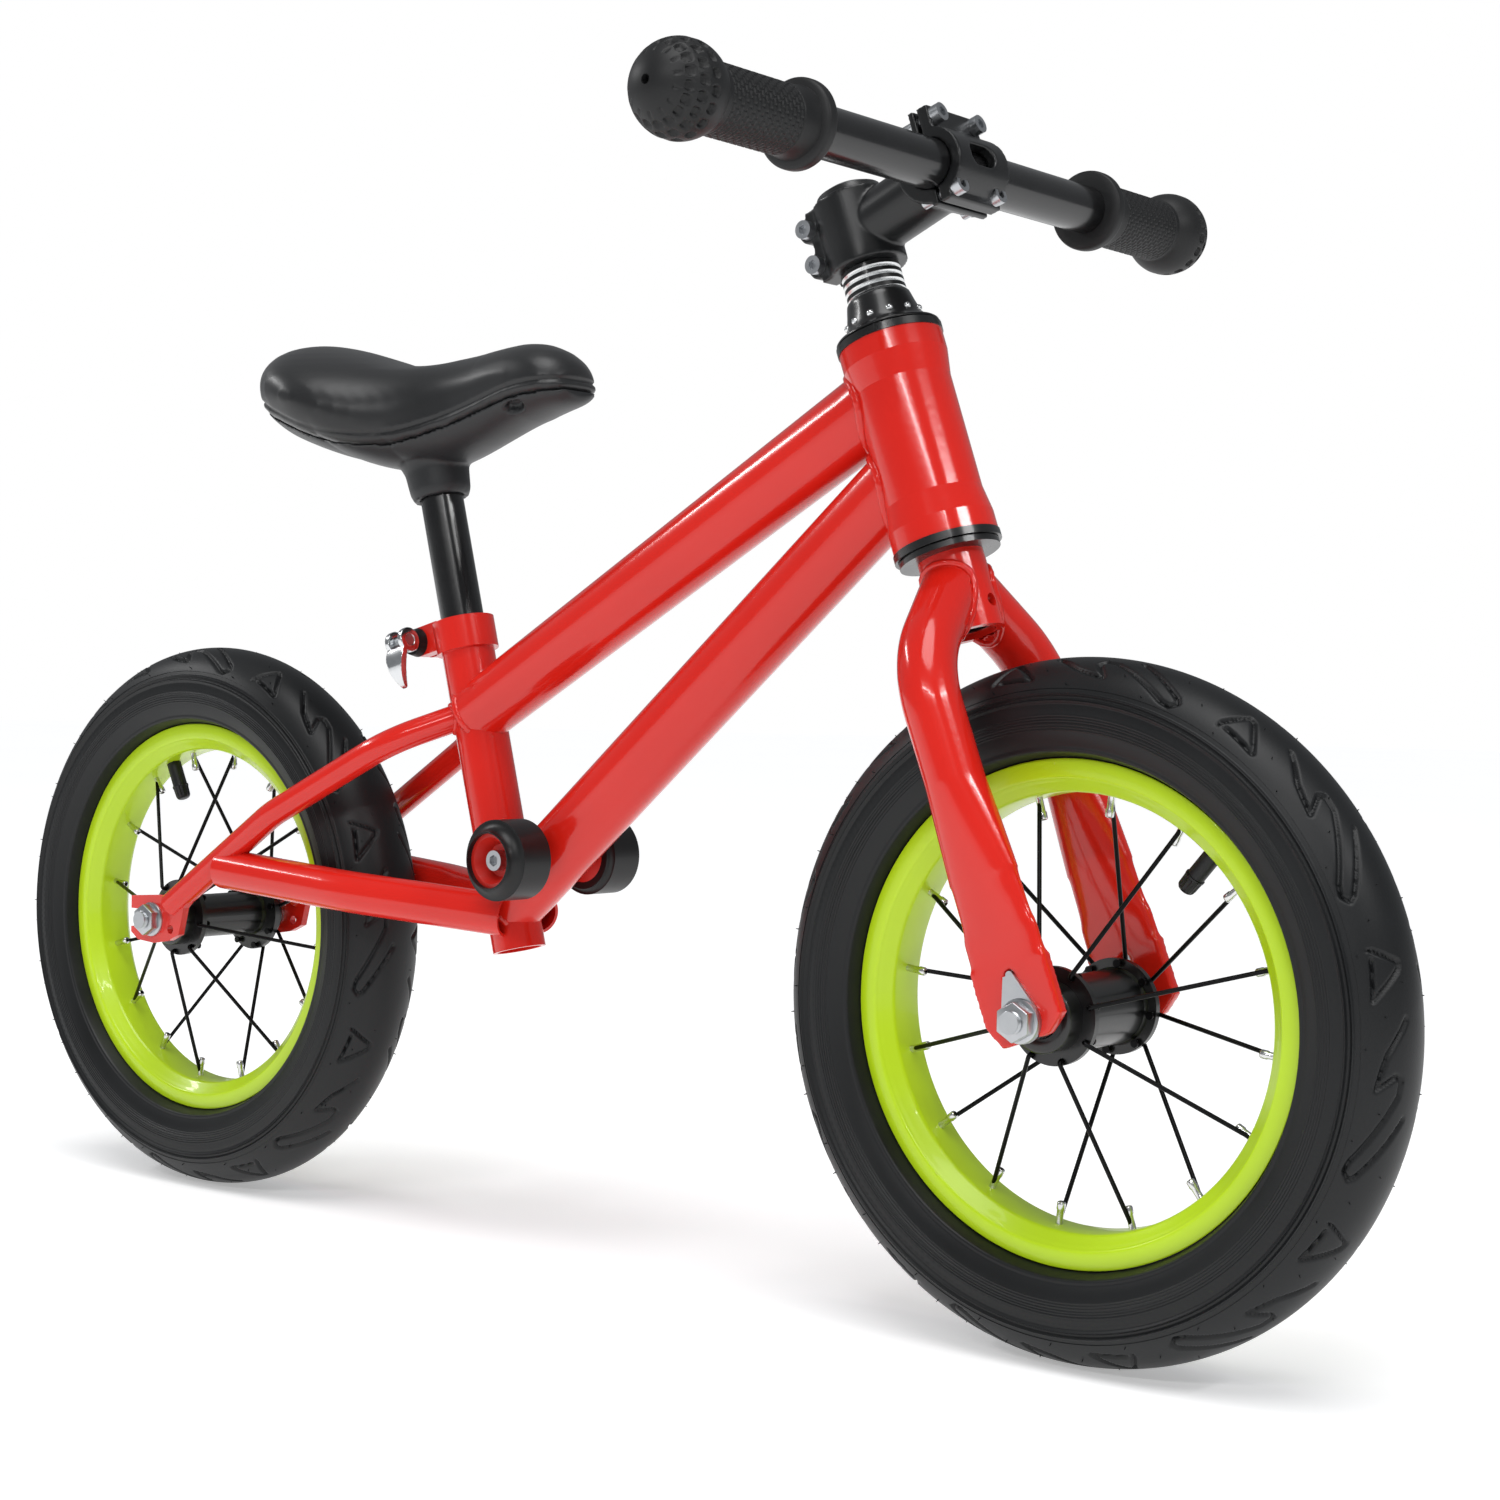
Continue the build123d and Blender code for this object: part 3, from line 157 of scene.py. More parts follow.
def add_light(name, kind, place, target, energy, **settings):
    """A light at a place, pointed at a target."""
    light = bpy.data.lights.new(name, kind)
    light.energy = energy
    for option, value in settings.items():
        setattr(light, option, value)
    made = bpy.data.objects.new(name, light)
    made.location = place
    made.rotation_mode = "QUATERNION"
    made.rotation_quaternion = (Vector(target) - Vector(place)).to_track_quat("-Z", "Y")
    bpy.context.scene.collection.objects.link(made)


middle = (0.0, 0.0, 0.25)
add_light("overhead", "SUN", (0.5, -0.8, 3.0), middle, 1.6, angle=radians(40))
add_light("near_strip", "AREA", (0.9, -1.9, 1.5), middle, 11, shape="RECTANGLE", size=1.5, size_y=0.07)
add_light("front_strip", "AREA", (2.0, -0.2, 1.6), middle, 9, shape="RECTANGLE", size=0.9, size_y=0.07)
add_light("rear_strip", "AREA", (-1.7, -0.7, 1.4), middle, 7, shape="RECTANGLE", size=0.9, size_y=0.1)


# ---------------------------------------------------------------- frame tubes and fork
# Welded low-carbon steel tube, sprayed with polyester powder and baked to one glossy red
# skin over tubes, joints and plates alike.
def grain(tree, scale, detail, coordinates):
    return add_node(tree, "ShaderNodeTexNoise", {"Scale": scale, "Detail": detail},
                    {"Vector": coordinates.outputs["Object"]})


def two_tone(tree, shader, factor, low, high):
    """Mixes two close colours over the surface, so it isn't one flat tone."""
    tone = add_node(tree, "ShaderNodeMix", {"A": linear(low), "B": linear(high)},
                    {"Factor": factor}, data_type="RGBA")
    tree.links.new(tone.outputs["Result"], shader.inputs["Base Color"])


def uneven_gloss(tree, shader, factor, low, high):
    spread = add_node(tree, "ShaderNodeMapRange", {"To Min": low, "To Max": high}, {"Value": factor})
    tree.links.new(spread.outputs["Result"], shader.inputs["Roughness"])


def relief(tree, shader, height, depth, strength=1.0):
    """Bump from a height of 0 to 1 that stands for a depth in metres."""
    bump = add_node(tree, "ShaderNodeBump", {"Strength": strength, "Distance": depth}, {"Height": height})
    tree.links.new(bump.outputs["Normal"], shader.inputs["Normal"])


def powder_coat(name, low, high, roughness):
    """Baked powder coat: bright colour, hard gloss and the slight orange peel it cures with."""
    material, tree, shader = new_material(name, low, roughness, Specular_IOR_Level=0.42,
                                          Coat_Weight=0.25, Coat_Roughness=0.05)
    place = add_node(tree, "ShaderNodeTexCoord")
    cloud = grain(tree, 14, 2, place)
    two_tone(tree, shader, cloud.outputs["Fac"], low, high)
    uneven_gloss(tree, shader, cloud.outputs["Fac"], roughness - 0.03, roughness + 0.06)
    # Orange peel is about 3 mm from crest to crest.
    relief(tree, shader, grain(tree, 1 / (3 * MM), 1, place).outputs["Fac"], 0.00006, 0.5)
    return material


def give(material, *nodes):
    """Gives CAD nodes their finish, and leaves their shape alone."""
    for node in nodes:
        slots = frame["nodes"][node].material_slots
        for slot in slots:
            slot.material = material
        if not slots:
            frame["nodes"][node].data.materials.append(material)


red_coat = powder_coat("red_powder_coat", "#CE1C12", "#DC2418", 0.15)
give(red_coat, "head_tube", "seat_tube", "top_tube", "down_tube", "rear_dropouts", "seat_stays",
     "chain_stays", "roller_cross_tube", "seat_clamp_collar", "fork_crown")

# ---------------------------------------------------------------- weld beads
# Each tube end is mitred to its neighbour and run round with MIG wire, so a soft ripple of
# steel stands in the corner under the same red coat.
front_axle = sum(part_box("front_hub"), Vector()) / 2
rear_axle = sum(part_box("rear_hub"), Vector()) / 2
steering = next(joint for joint in frame["joints"] if joint["name"] == "steering")
steer_up = Vector(steering["axis"]).normalized()
steer_forward = Vector((steer_up.z, 0, -steer_up.x))
fork_offset = 4.0
steer_foot = front_axle - steer_forward * fork_offset * MM
post_slide = next(joint for joint in frame["joints"] if joint["name"] == "saddle_height")
seat_up = Vector(post_slide["axis"]).normalized()
seat_forward = Vector((seat_up.z, 0, -seat_up.x))
seat_foot_from_rear = Vector((230.5, 0, 22.3))
seat_foot = rear_axle + seat_foot_from_rear * MM


def on_steer(height, forward=0.0, left=0.0):
    """A point up the steering axis, ahead of it and to its left, given in millimetres."""
    return steer_foot + (steer_up * height + steer_forward * forward + Vector((0, left, 0))) * MM


def on_seat(height, forward=0.0, left=0.0):
    return seat_foot + (seat_up * height + seat_forward * forward + Vector((0, left, 0))) * MM


def from_rear(x, y, z):
    return rear_axle + Vector((x, y, z)) * MM


def bead_line(start, end, radius, main_at, main_way, main_radius, count=96):
    """Where a tube from start to end first meets the skin of the main tube."""
    way = (end - start).normalized()
    across = way.orthogonal().normalized()
    beside = way.cross(across)
    slope = way - main_way * way.dot(main_way)
    line = []
    for number in range(count):
        turn = 2 * pi * number / count
        rim = start + (across * cos(turn) + beside * sin(turn)) * radius * MM
        gap = rim - main_at
        gap -= main_way * gap.dot(main_way)
        a, b, c = slope.dot(slope), 2 * gap.dot(slope), gap.dot(gap) - (main_radius * MM) ** 2
        line.append(rim + way * (-b - max(0.0, b * b - 4 * a * c) ** 0.5) / (2 * a))
    return line


def ring_line(centre, way, radius, count=96):
    """The rim of a tube's mitred end where it is wider than the tube it meets."""
    across = way.orthogonal().normalized()
    beside = way.normalized().cross(across)
    return [centre + (across * cos(2 * pi * n / count) + beside * sin(2 * pi * n / count)) * radius * MM
            for n in range(count)]


def lay_beads(name, lines, body, width):
    """One mesh of round beads along closed lines, with the ripple of each weld pool."""
    curve = bpy.data.curves.new(name, "CURVE")
    curve.dimensions = "3D"
    curve.bevel_depth = width / 2 * MM
    curve.bevel_resolution = 3
    for line in lines:
        spline = curve.splines.new("POLY")
        spline.points.add(len(line) - 1)
        spline.use_cyclic_u = True
        for number, (point, where) in enumerate(zip(spline.points, line)):
            point.co = (*where, 1)
            point.radius = 1 + 0.07 * cos(number * pi / 1.5)
    wire = bpy.data.objects.new(name, curve)
    bpy.context.scene.collection.objects.link(wire)
    mesh = bpy.data.meshes.new_from_object(wire.evaluated_get(bpy.context.evaluated_depsgraph_get()))
    bpy.data.objects.remove(wire)
    made = link_object(name, mesh)
    mesh.materials.clear()
    mesh.materials.append(red_coat)
    mesh.shade_smooth()
    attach(made, body)


seat_tube_radius, crown_radius, blade_radius, stay_radius = 13.6, 15.0, 13.0, 7.0
top_rear, top_front = on_seat(99.5), on_steer(290)
down_rear, down_front = on_seat(0), on_steer(255.5)
main_tubes = [
    bead_line(top_rear, top_front, 18.1, steer_foot, steer_up, 22.6),
    bead_line(down_rear, down_front, 17.0, steer_foot, steer_up, 22.25),
    ring_line(top_rear, top_front - top_rear, 15.2),
    ring_line(down_rear, down_front - down_rear, 15.8),
]
stay_ends = [bead_line(from_rear(171, side * 31, 103), on_seat(100.5, -2, side * 3), stay_radius,
                       seat_foot, seat_up, seat_tube_radius, 48) for side in (-1, 1)]
lay_beads("frame_weld_beads", main_tubes, "frame", 4.6)
lay_beads("stay_weld_beads", stay_ends, "frame", 3.0)
blade_ends = [bead_line(on_steer(157, 0, side * 46.5), on_steer(195, 0, side * 5), blade_radius,
                        steer_foot, steer_up, crown_radius, 60) for side in (-1, 1)]
lay_beads("fork_weld_beads", blade_ends, "fork", 3.4)


# ---------------------------------------------------------------- tyres
# Moulded black rubber on a cloth carcass. Each shoulder repeats a slanted triangle and a
# lightning groove eight times, over a smooth band, two ridges and a finely ringed wall.
def turned(profile, steps, closed=True):
    """A bmesh turned about local Z from (radius, height) points in millimetres."""
    shape = bmesh.new()
    corners = [shape.verts.new((radius * MM, 0, height * MM)) for radius, height in profile]
    ends = list(zip(corners, corners[1:])) + ([(corners[-1], corners[0])] if closed else [])
    line = [shape.edges.new(pair) for pair in ends]
    bmesh.ops.spin(shape, geom=corners + line, axis=(0, 0, 1), cent=(0, 0, 0),
                   steps=steps, angle=2 * pi, use_merge=True)
    bmesh.ops.remove_doubles(shape, verts=shape.verts, dist=1e-6)
    bmesh.ops.recalc_face_normals(shape, faces=shape.faces)
    return shape


def stand_for(made, node, slot, *materials):
    """Puts a piece on its CAD node's body, in that node's stead, with its finish."""
    for material in materials:
        made.data.materials.append(material)
    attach(made, body_of[node])
    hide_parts(node)


def smooth_piece(name, shape, place, crease=40):
    """Makes the bmesh an object in its place, smooth but for edges above the crease angle."""
    bmesh.ops.transform(shape, matrix=place, verts=shape.verts)
    for face in shape.faces:
        face.smooth = True
    for edge in shape.edges:
        if edge.is_manifold and edge.calc_face_angle() > radians(crease):
            edge.smooth = False
    mesh = bpy.data.meshes.new(name)
    shape.to_mesh(mesh)
    shape.free()
    return link_object(name, mesh)


def finish_piece(name, shape, place, node, slot, *materials, crease=40):
    stand_for(smooth_piece(name, shape, place, crease), node, slot, *materials)


def rubber(name, low, high, roughness, pore, depth):
    """Moulded rubber: near black, dull, with fine pores and paler dusty patches."""
    material, tree, shader = new_material(name, low, roughness, Specular_IOR_Level=0.36)
    place = add_node(tree, "ShaderNodeTexCoord")
    patches = grain(tree, 22, 4, place)
    two_tone(tree, shader, patches.outputs["Fac"], low, high)
    uneven_gloss(tree, shader, patches.outputs["Fac"], roughness - 0.08, roughness + 0.12)
    relief(tree, shader, grain(tree, 1 / (pore * MM), 3, place).outputs["Fac"], depth * MM, 0.6)
    return material


tyre_rubber = rubber("moulded_tyre_rubber", "#0A0B0C", "#131517", 0.42, 0.9, 0.06)
tyre_radius, casing_radius, tread_lean = 151.0, 25.5, 62.0
casing_centre = tyre_radius - casing_radius
pitch_count = 8
pitch = 2 * pi * tyre_radius / pitch_count
groove_half, groove_depth = 1.35, 1.7
# One pitch of the right shoulder: distance round the tyre, then distance out from its crown.
triangle = [(0, 21.6), (7.5, 8.6), (10, 9.6), (21.6, 22.4), (4.5, 20.6)]
lightning = [(30, 8.2), (43.5, 17), (50, 19), (58, 20.6), (52.2, 12.6), (53.5, 9.9), (60, 10.2), (90, 24.4),
             (95, 25.2), (98, 22.5), (96, 20), (70, 5.7)]
groove_runs = list(zip(triangle, triangle[1:])) + list(zip(lightning, lightning[1:]))


def hump(value, centre, half):
    """1 at the centre of a ridge or groove, easing to 0 at half its width."""
    away = np.clip(np.abs(value - centre) / half, 0, 1)
    return (1 - away * away) ** 2


def wall_relief(radius):
    """How far the sidewall stands proud of the round casing at a distance from the axle."""
    proud = 1.3 * hump(radius, 131.9, 0.9) + 1.3 * hump(radius, 134.6, 0.9)
    proud += 0.8 * hump(radius, 111.5, 1.6)
    return proud + 0.18 * np.where((radius > 120) & (radius < 126.4), np.cos(radius * 2 * pi / 1.2), 0)


def on_casing(lean, proud=0.0):
    turn = radians(lean)
    return casing_centre + (casing_radius + proud) * cos(turn), (casing_radius + proud) * sin(turn)


def tread_profile():
    """The thick band of tread from shoulder to shoulder, outside and inside."""
    outside = [on_casing(lean) for lean in np.linspace(-tread_lean, tread_lean, 84)]
    return outside + [on_casing(lean, -2.6) for lean in np.linspace(tread_lean, -tread_lean, 9)]


def wall_profile():
    """The left sidewall from the tread's edge down to the bead in the rim."""
    outside = []
    for lean in np.linspace(tread_lean - 1.5, 126, 76):
        radius = on_casing(lean)[0]
        outside.append(on_casing(lean, float(wall_relief(radius)) - 0.25))
    return outside + [(108.7, 15.5), (108.3, 13.2), (101.7, 13.2), (101.7, 9.8), (107, 9.8), (116, 18.5),
                      (126, 22.3), on_casing(tread_lean - 1.5, -2.9)]


def press_tread(shape, start):
    """Presses the grooves into both shoulders of the band, from a start round the tyre."""
    points = np.array([v.co for v in shape.verts]) / MM
    around = np.arctan2(points[:, 1], points[:, 0]) + pi / 2
    radius = np.hypot(points[:, 0], points[:, 1])
    lean = np.arctan2(points[:, 2], radius - casing_centre)
    size = np.hypot(points[:, 2], radius - casing_centre)
    across = np.abs(lean) * casing_radius
    along = (around * tyre_radius + np.where(lean > 0, pitch / 2, 0) - start) % pitch
    nearest = np.full(len(points), 99.0)
    for (start_round, start_out), (end_round, end_out) in groove_runs:
        run = np.array([end_round - start_round, end_out - start_out], float)
        gone, out = along - start_round, across - start_out
        share = np.clip((gone * run[0] + out * run[1]) / run.dot(run), 0, 1)
        nearest = np.minimum(nearest, np.hypot(gone - share * run[0], out - share * run[1]))
    sunk = groove_depth * hump(nearest, 0, groove_half) * (size > casing_radius - 1)
    pulled = (size - sunk) / size
    deep = (casing_centre + (radius - casing_centre) * pulled) / radius
    for vert, stretch, lift in zip(shape.verts, deep, pulled):
        vert.co = (vert.co.x * stretch, vert.co.y * stretch, vert.co.z * lift)


def serrate(shape):
    """The fine knurled line that runs round the upper wall, like a milled coin."""
    tooth_count, tooth_height = 230, 0.3
    for vert in shape.verts:
        radius = vert.co.xy.length / MM
        if 126.6 < radius < 129.6 and vert.co.z > 22 * MM:
            vert.co.z += tooth_height * cos(np.arctan2(vert.co.y, vert.co.x) * tooth_count) * MM


def add_nubs(shape, count=72):
    """The hair-thin rubber whiskers left by the mould's air vents along each tread edge."""
    for number in range(count):
        for side in (-1, 1):
            turn = 2 * pi * (number + 0.5 * (side > 0)) / count
            lean = side * radians((58, 20, 40)[number % 3])
            out = Vector((cos(turn) * cos(lean), sin(turn) * cos(lean), sin(lean)))
            foot = Vector((cos(turn), sin(turn), 0)) * casing_centre + out * (casing_radius - 0.2)
            reach = 0.9 if number % 3 == 1 else 1.5
            bmesh.ops.create_cone(shape, cap_ends=True, segments=4, radius1=0.34 * MM, radius2=0.14 * MM,
                                  depth=reach * MM, matrix=Matrix.Translation((foot + out * reach / 2) * MM)
                                  @ out.to_track_quat("Z", "Y").to_matrix().to_4x4())


def along_axle(centre):
    """Local Z points to the rider's left and local X forward."""
    turn = Matrix(((1, 0, 0), (0, 0, 1), (0, -1, 0))).to_4x4()
    return Matrix.Translation(centre) @ turn


def joined(shapes):
    """One bmesh from several, which are used up."""
    whole = bmesh.new()
    for shape in shapes:
        spare = bpy.data.meshes.new("spare")
        shape.to_mesh(spare)
        shape.free()
        whole.from_mesh(spare)
        bpy.data.meshes.remove(spare)
    return whole


axles = {"front": front_axle, "rear": rear_axle}
tread_start = {"front": 77.0, "rear": 54.0}
plain_tread = turned(tread_profile(), 1000)
left_wall = turned(wall_profile(), 460)
serrate(left_wall)
right_wall = left_wall.copy()
bmesh.ops.scale(right_wall, vec=(1, 1, -1), verts=right_wall.verts)
bmesh.ops.reverse_faces(right_wall, faces=right_wall.faces)
walls = joined([left_wall, right_wall])
for name, axle in axles.items():
    tread = plain_tread.copy()
    press_tread(tread, tread_start[name])
    nubs = bmesh.new()
    add_nubs(nubs)
    finish_piece(f"{name}_tyre_tread", joined([tread, nubs]), along_axle(axle), f"{name}_tyre",
                 "tyre_rubber", tyre_rubber, crease=70)
    finish_piece(f"{name}_tyre_walls", walls.copy(), along_axle(axle), f"{name}_tyre", "tyre_rubber",
                 tyre_rubber, crease=60)
plain_tread.free()
walls.free()

# ---------------------------------------------------------------- rims
# Rolled steel channel rims with rounded edges, powder-coated lime: an upright flange, a
# stepped shoulder line and a sloped bed down to the spoke holes.
lime_coat = powder_coat("lime_powder_coat", "#B9DC12", "#C6E81F", 0.3)
half_rim = [
    (96.5, 0), (96.5, 6.8), (100.4, 10.2), (101.4, 13.4), (107.3, 13.45), (107.9, 13.7), (108, 14.3),
    (107.9, 14.9), (107.3, 15.25), (100.8, 15.25), (100.0, 15.05), (99.4, 14.5), (98.9, 13.7),
    (98.2, 13.3), (97.6, 12.4), (94.6, 10.2), (93.8, 9.3), (93.5, 8.2), (93.5, 0),
]
for name, axle in axles.items():
    outline = half_rim[:-1] + [(radius, -height) for radius, height in reversed(half_rim)][:-1]
    channel = turned(outline, 288)
    finish_piece(f"{name}_rim_channel", channel, along_axle(axle), f"{name}_rim", "lime_paint",
                 lime_coat, crease=50)


# ---------------------------------------------------------------- hubs and spokes
# Pressed steel hubs in black enamel, laced with blackened steel spokes, straight from flange
# to rim, each drawn tight by a nickel-plated nipple.
def enamel(name, low, high, roughness):
    """Stoved black enamel: deep black with a clear sheen and a trace of dust."""
    material, tree, shader = new_material(name, low, roughness, Coat_Weight=0.25, Coat_Roughness=0.12)
    place = add_node(tree, "ShaderNodeTexCoord")
    cloud = grain(tree, 60, 3, place)
    two_tone(tree, shader, cloud.outputs["Fac"], low, high)
    uneven_gloss(tree, shader, cloud.outputs["Fac"], roughness - 0.05, roughness + 0.1)
    relief(tree, shader, grain(tree, 1 / (1.6 * MM), 2, place).outputs["Fac"], 0.00003, 0.5)
    return material


def plated(name, low, high, roughness, scratch=0.7):
    """Plated steel: bright metal with faint drawing marks and duller handled patches."""
    material, tree, shader = new_material(name, low, roughness, Metallic=1.0)
    place = add_node(tree, "ShaderNodeTexCoord")
    patches = grain(tree, 130, 4, place)
    two_tone(tree, shader, patches.outputs["Fac"], low, high)
    uneven_gloss(tree, shader, patches.outputs["Fac"], roughness - 0.06, roughness + 0.12)
    relief(tree, shader, grain(tree, 1 / (scratch * MM), 3, place).outputs["Fac"], 0.00003, 0.4)
    return material


hub_enamel = enamel("black_hub_enamel", "#090909", "#111112", 0.3)
black_steel = plated("blackened_spoke_steel", "#1A1A1B", "#242425", 0.34)
nickel = plated("nickel_plated_brass", "#C9CACA", "#E2E2E0", 0.2)
bearing_steel = plated("ground_bearing_steel", "#B4B6B8", "#C8CACC", 0.16)
give(hub_enamel, "front_hub", "rear_hub")
give(black_steel, "front_spokes", "rear_spokes")
give(bearing_steel, "front_hub_balls", "rear_hub_balls", "headset_balls", "front_cones", "rear_cones")


hub_faces = {"front": 35.5, "rear": 34.0}
for name, axle in axles.items():
    face = hub_faces[name]
    lid = [(8.8, face), (8.8, face + 0.9), (9.4, face + 1.3), (13.6, face + 1.3), (14.9, face + 0.5),
           (15.0, face + 0.02), (12.4, face - 0.6), (9.2, face - 0.6)]
    caps = [turned(lid, 72), turned([(radius, -height) for radius, height in lid], 72)]
    pressed = smooth_piece(f"{name}_hub_dust_caps", joined(caps), along_axle(axle), crease=50)
    pressed.data.materials.append(hub_enamel)
    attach(pressed, f"{name}_wheel")


def radial(centre, degrees, radius):
    """A frame on a wheel whose local Z points out along one spoke, measured from straight up."""
    turn = radians(degrees)
    out = Vector((sin(turn), 0, cos(turn)))
    return Matrix.Translation(centre + out * radius * MM) @ out.to_track_quat("Z", "Y").to_matrix().to_4x4()


spoke_count = 16
first_spoke = {"front": 6.5, "rear": 30.5}
nipple_line = [(1.05, 0), (1.75, 0.3), (1.95, 0.8), (1.95, 3.4), (1.6, 4.0), (1.6, 10.6), (1.9, 11.4),
               (2.7, 12.2), (2.8, 13.0), (1.05, 13.6)]
for name, axle in axles.items():
    nipples = []
    for number in range(spoke_count):
        nipples.append(turned(nipple_line, 14))
        step = first_spoke[name] + number * 360 / spoke_count
        bmesh.ops.transform(nipples[-1], matrix=radial(axle, step, 83.5), verts=nipples[-1].verts)
    finish_piece(f"{name}_spoke_nipples", joined(nipples), Matrix.Identity(4), f"{name}_nipples",
                 "bright_steel", nickel, crease=50)

# ---------------------------------------------------------------- inner tubes and valves
# Butyl inner tubes with a rubber-covered stem through the rim, closed by a ribbed cap.
valve_rubber = rubber("butyl_rubber", "#0F0F10", "#1B1C1D", 0.45, 0.7, 0.04)
cap_plastic = rubber("moulded_cap_plastic", "#0B0B0C", "#131314", 0.35, 0.8, 0.02)
give(valve_rubber, "front_inner_tube", "rear_inner_tube")
valve_gap = {"front": 1.5, "rear": -2.5}
cap_line = [(0, 0), (2.6, 0), (3.3, 0.4), (3.7, 1.2), (3.9, 2.0), (4.1, 6.6), (4.5, 7.1), (4.5, 8.0),
            (0, 8.0)]
for name, axle in axles.items():
    cap = turned(cap_line, 72, closed=False)
    for vert in cap.verts:
        if 1.2 * MM < vert.co.z < 7 * MM:
            vert.co.xy *= 1 + 0.055 * cos(12 * np.arctan2(vert.co.y, vert.co.x))
    where = radial(axle, first_spoke[name] + valve_gap[name] * 360 / spoke_count, 71.5)
    finish_piece(f"{name}_ribbed_valve_cap", cap, where, f"{name}_valve_cap", "tube_rubber", cap_plastic)

# ---------------------------------------------------------------- axles, nuts and washers
# Zinc-plated axles with rolled threads, chamfered hexagon nuts, and teardrop washers that
# hook into the fork so that the wheel can't drop out.
zinc = plated("zinc_plated_steel", "#A9ACB0", "#C4C6C8", 0.3)
give(zinc, "front_axle", "rear_axle", "retention_washers", "roller_bolts", "clamp_skewer", "clamp_nut",
     "top_cap_bolt_and_star_nut")
nut_faces = {"front": 51.1, "rear": 46.0}
nut_height, flange_height, corner_radius, stub = 6.5, 1.6, 8.6, 2.4
for name, axle in axles.items():
    nuts = bmesh.new()
    for side in (-1, 1):
        out = Matrix.Rotation(0 if side > 0 else pi, 4, "X")
        low = nut_faces[name]
        hexagon_height = nut_height - flange_height
        middle_up = Matrix.Translation((0, 0, (low + flange_height + hexagon_height / 2) * MM))
        flats = bmesh.ops.create_cone(
            nuts, cap_ends=True, segments=6, radius1=corner_radius * MM, radius2=corner_radius * MM,
            depth=hexagon_height * MM, matrix=out @ middle_up)
        edges = list({edge for vert in flats["verts"] for edge in vert.link_edges})
        bmesh.ops.bevel(nuts, geom=edges, offset=0.55 * MM, offset_type="OFFSET", affect="EDGES",
                        segments=3, profile=0.5, material=-1)
        crests = [(0, 0.0), (9.4, 0.0), (9.5, 0.5), (9.2, 1.2), (7.9, 1.7), (0, 1.7)]
        threads = [(0, nut_height)]
        for turn in range(3):
            threads += [(4.6, nut_height + 0.8 * turn), (5.0, nut_height + 0.8 * turn + 0.4)]
        threads += [(4.3, nut_height + stub), (0, nut_height + stub)]
        for line in (crests, threads):
            part = turned(line, 48, closed=False)
            bmesh.ops.transform(part, matrix=out @ Matrix.Translation((0, 0, low * MM)), verts=part.verts)
            nuts = joined([nuts, part])
    finish_piece(f"{name}_flanged_nuts", nuts, along_axle(axle), f"{name}_axle_nuts", "bright_steel",
                 zinc, crease=35)

# ---------------------------------------------------------------- headset
# Two pressed steel cups in black, a tapered top cover with the bearing's balls showing as a
# ring of bright dots, and four spacers whose cut edges are left bright.
cup_enamel = enamel("black_cup_enamel", "#0A0A0A", "#131314", 0.26)
give(cup_enamel, "headset_cups", "stem_top_cap", "crown_race", "steerer_tube")
bright_edge = plated("bright_cut_alloy", "#D3D5D6", "#ECEDED", 0.22)


def up_steerer(level):
    """Local Z runs up the steering axis and local X forward, from a level in millimetres."""
    turn = Matrix((steer_forward, Vector((0, 1, 0)), steer_up)).transposed().to_4x4()
    return Matrix.Translation(on_steer(level)) @ turn


cover_level, stud_count, stud_circle, stud_level, stud_radius = 314.3, 12, 17.0, 7.6, 1.75
largest_stud_face = 0.9 * MM * MM
cover_line = [
    (11.2, 0.1), (23.4, 0.1), (23.95, 0.5), (23.95, 1.2), (23.3, 1.8), (21.4, 2.3), (19.6, 3.2),
    (18.4, 4.8), (17.5, 7.2), (16.7, 10), (15.9, 13), (15.2, 16), (14.7, 17.9), (14.1, 18.7),
    (13.2, 18.95), (11.2, 18.95),
]
cover = turned(cover_line, 96)
studs = []
for number in range(stud_count):
    turn = 2 * pi * (number + 0.5) / stud_count
    studs.append(Vector((cos(turn) * stud_circle, sin(turn) * stud_circle, stud_level)))
    bmesh.ops.create_uvsphere(cover, u_segments=16, v_segments=10, radius=stud_radius * MM,
                              matrix=Matrix.Translation(studs[-1] * MM))
for face in cover.faces:
    heart = face.calc_center_median() / MM
    on_stud = min((heart - stud).length for stud in studs) < stud_radius + 0.05
    face.material_index = int(on_stud and len(face.verts) < 5 and face.calc_area() < largest_stud_face)
finish_piece("tapered_headset_cover", cover, up_steerer(cover_level), "headset_cover", "black_paint",
             cup_enamel, bright_edge, crease=50)

spacer_count, spacer_height, spacer_level, spacer_edge = 4, 3.6, 333.3, 0.85
spacer_bore, spacer_radius, ease = 11.2, 13.75, 0.02
stack = []
for number in range(spacer_count):
    low = number * spacer_height
    high = low + spacer_height
    stack += [(spacer_radius - spacer_edge, low + ease), (spacer_radius, low + spacer_edge),
              (spacer_radius, high - spacer_edge), (spacer_radius - spacer_edge, high - ease)]
stack = [(spacer_bore, ease)] + stack + [(spacer_bore, spacer_count * spacer_height - ease)]
rings = turned(stack, 96)
for face in rings.faces:
    level = face.calc_center_median().z / MM % spacer_height
    face.material_index = int(not spacer_edge < level < spacer_height - spacer_edge)
finish_piece("spacer_stack", rings, up_steerer(spacer_level), "headset_spacers", "spacer_metal",
             cup_enamel, bright_edge, crease=25)


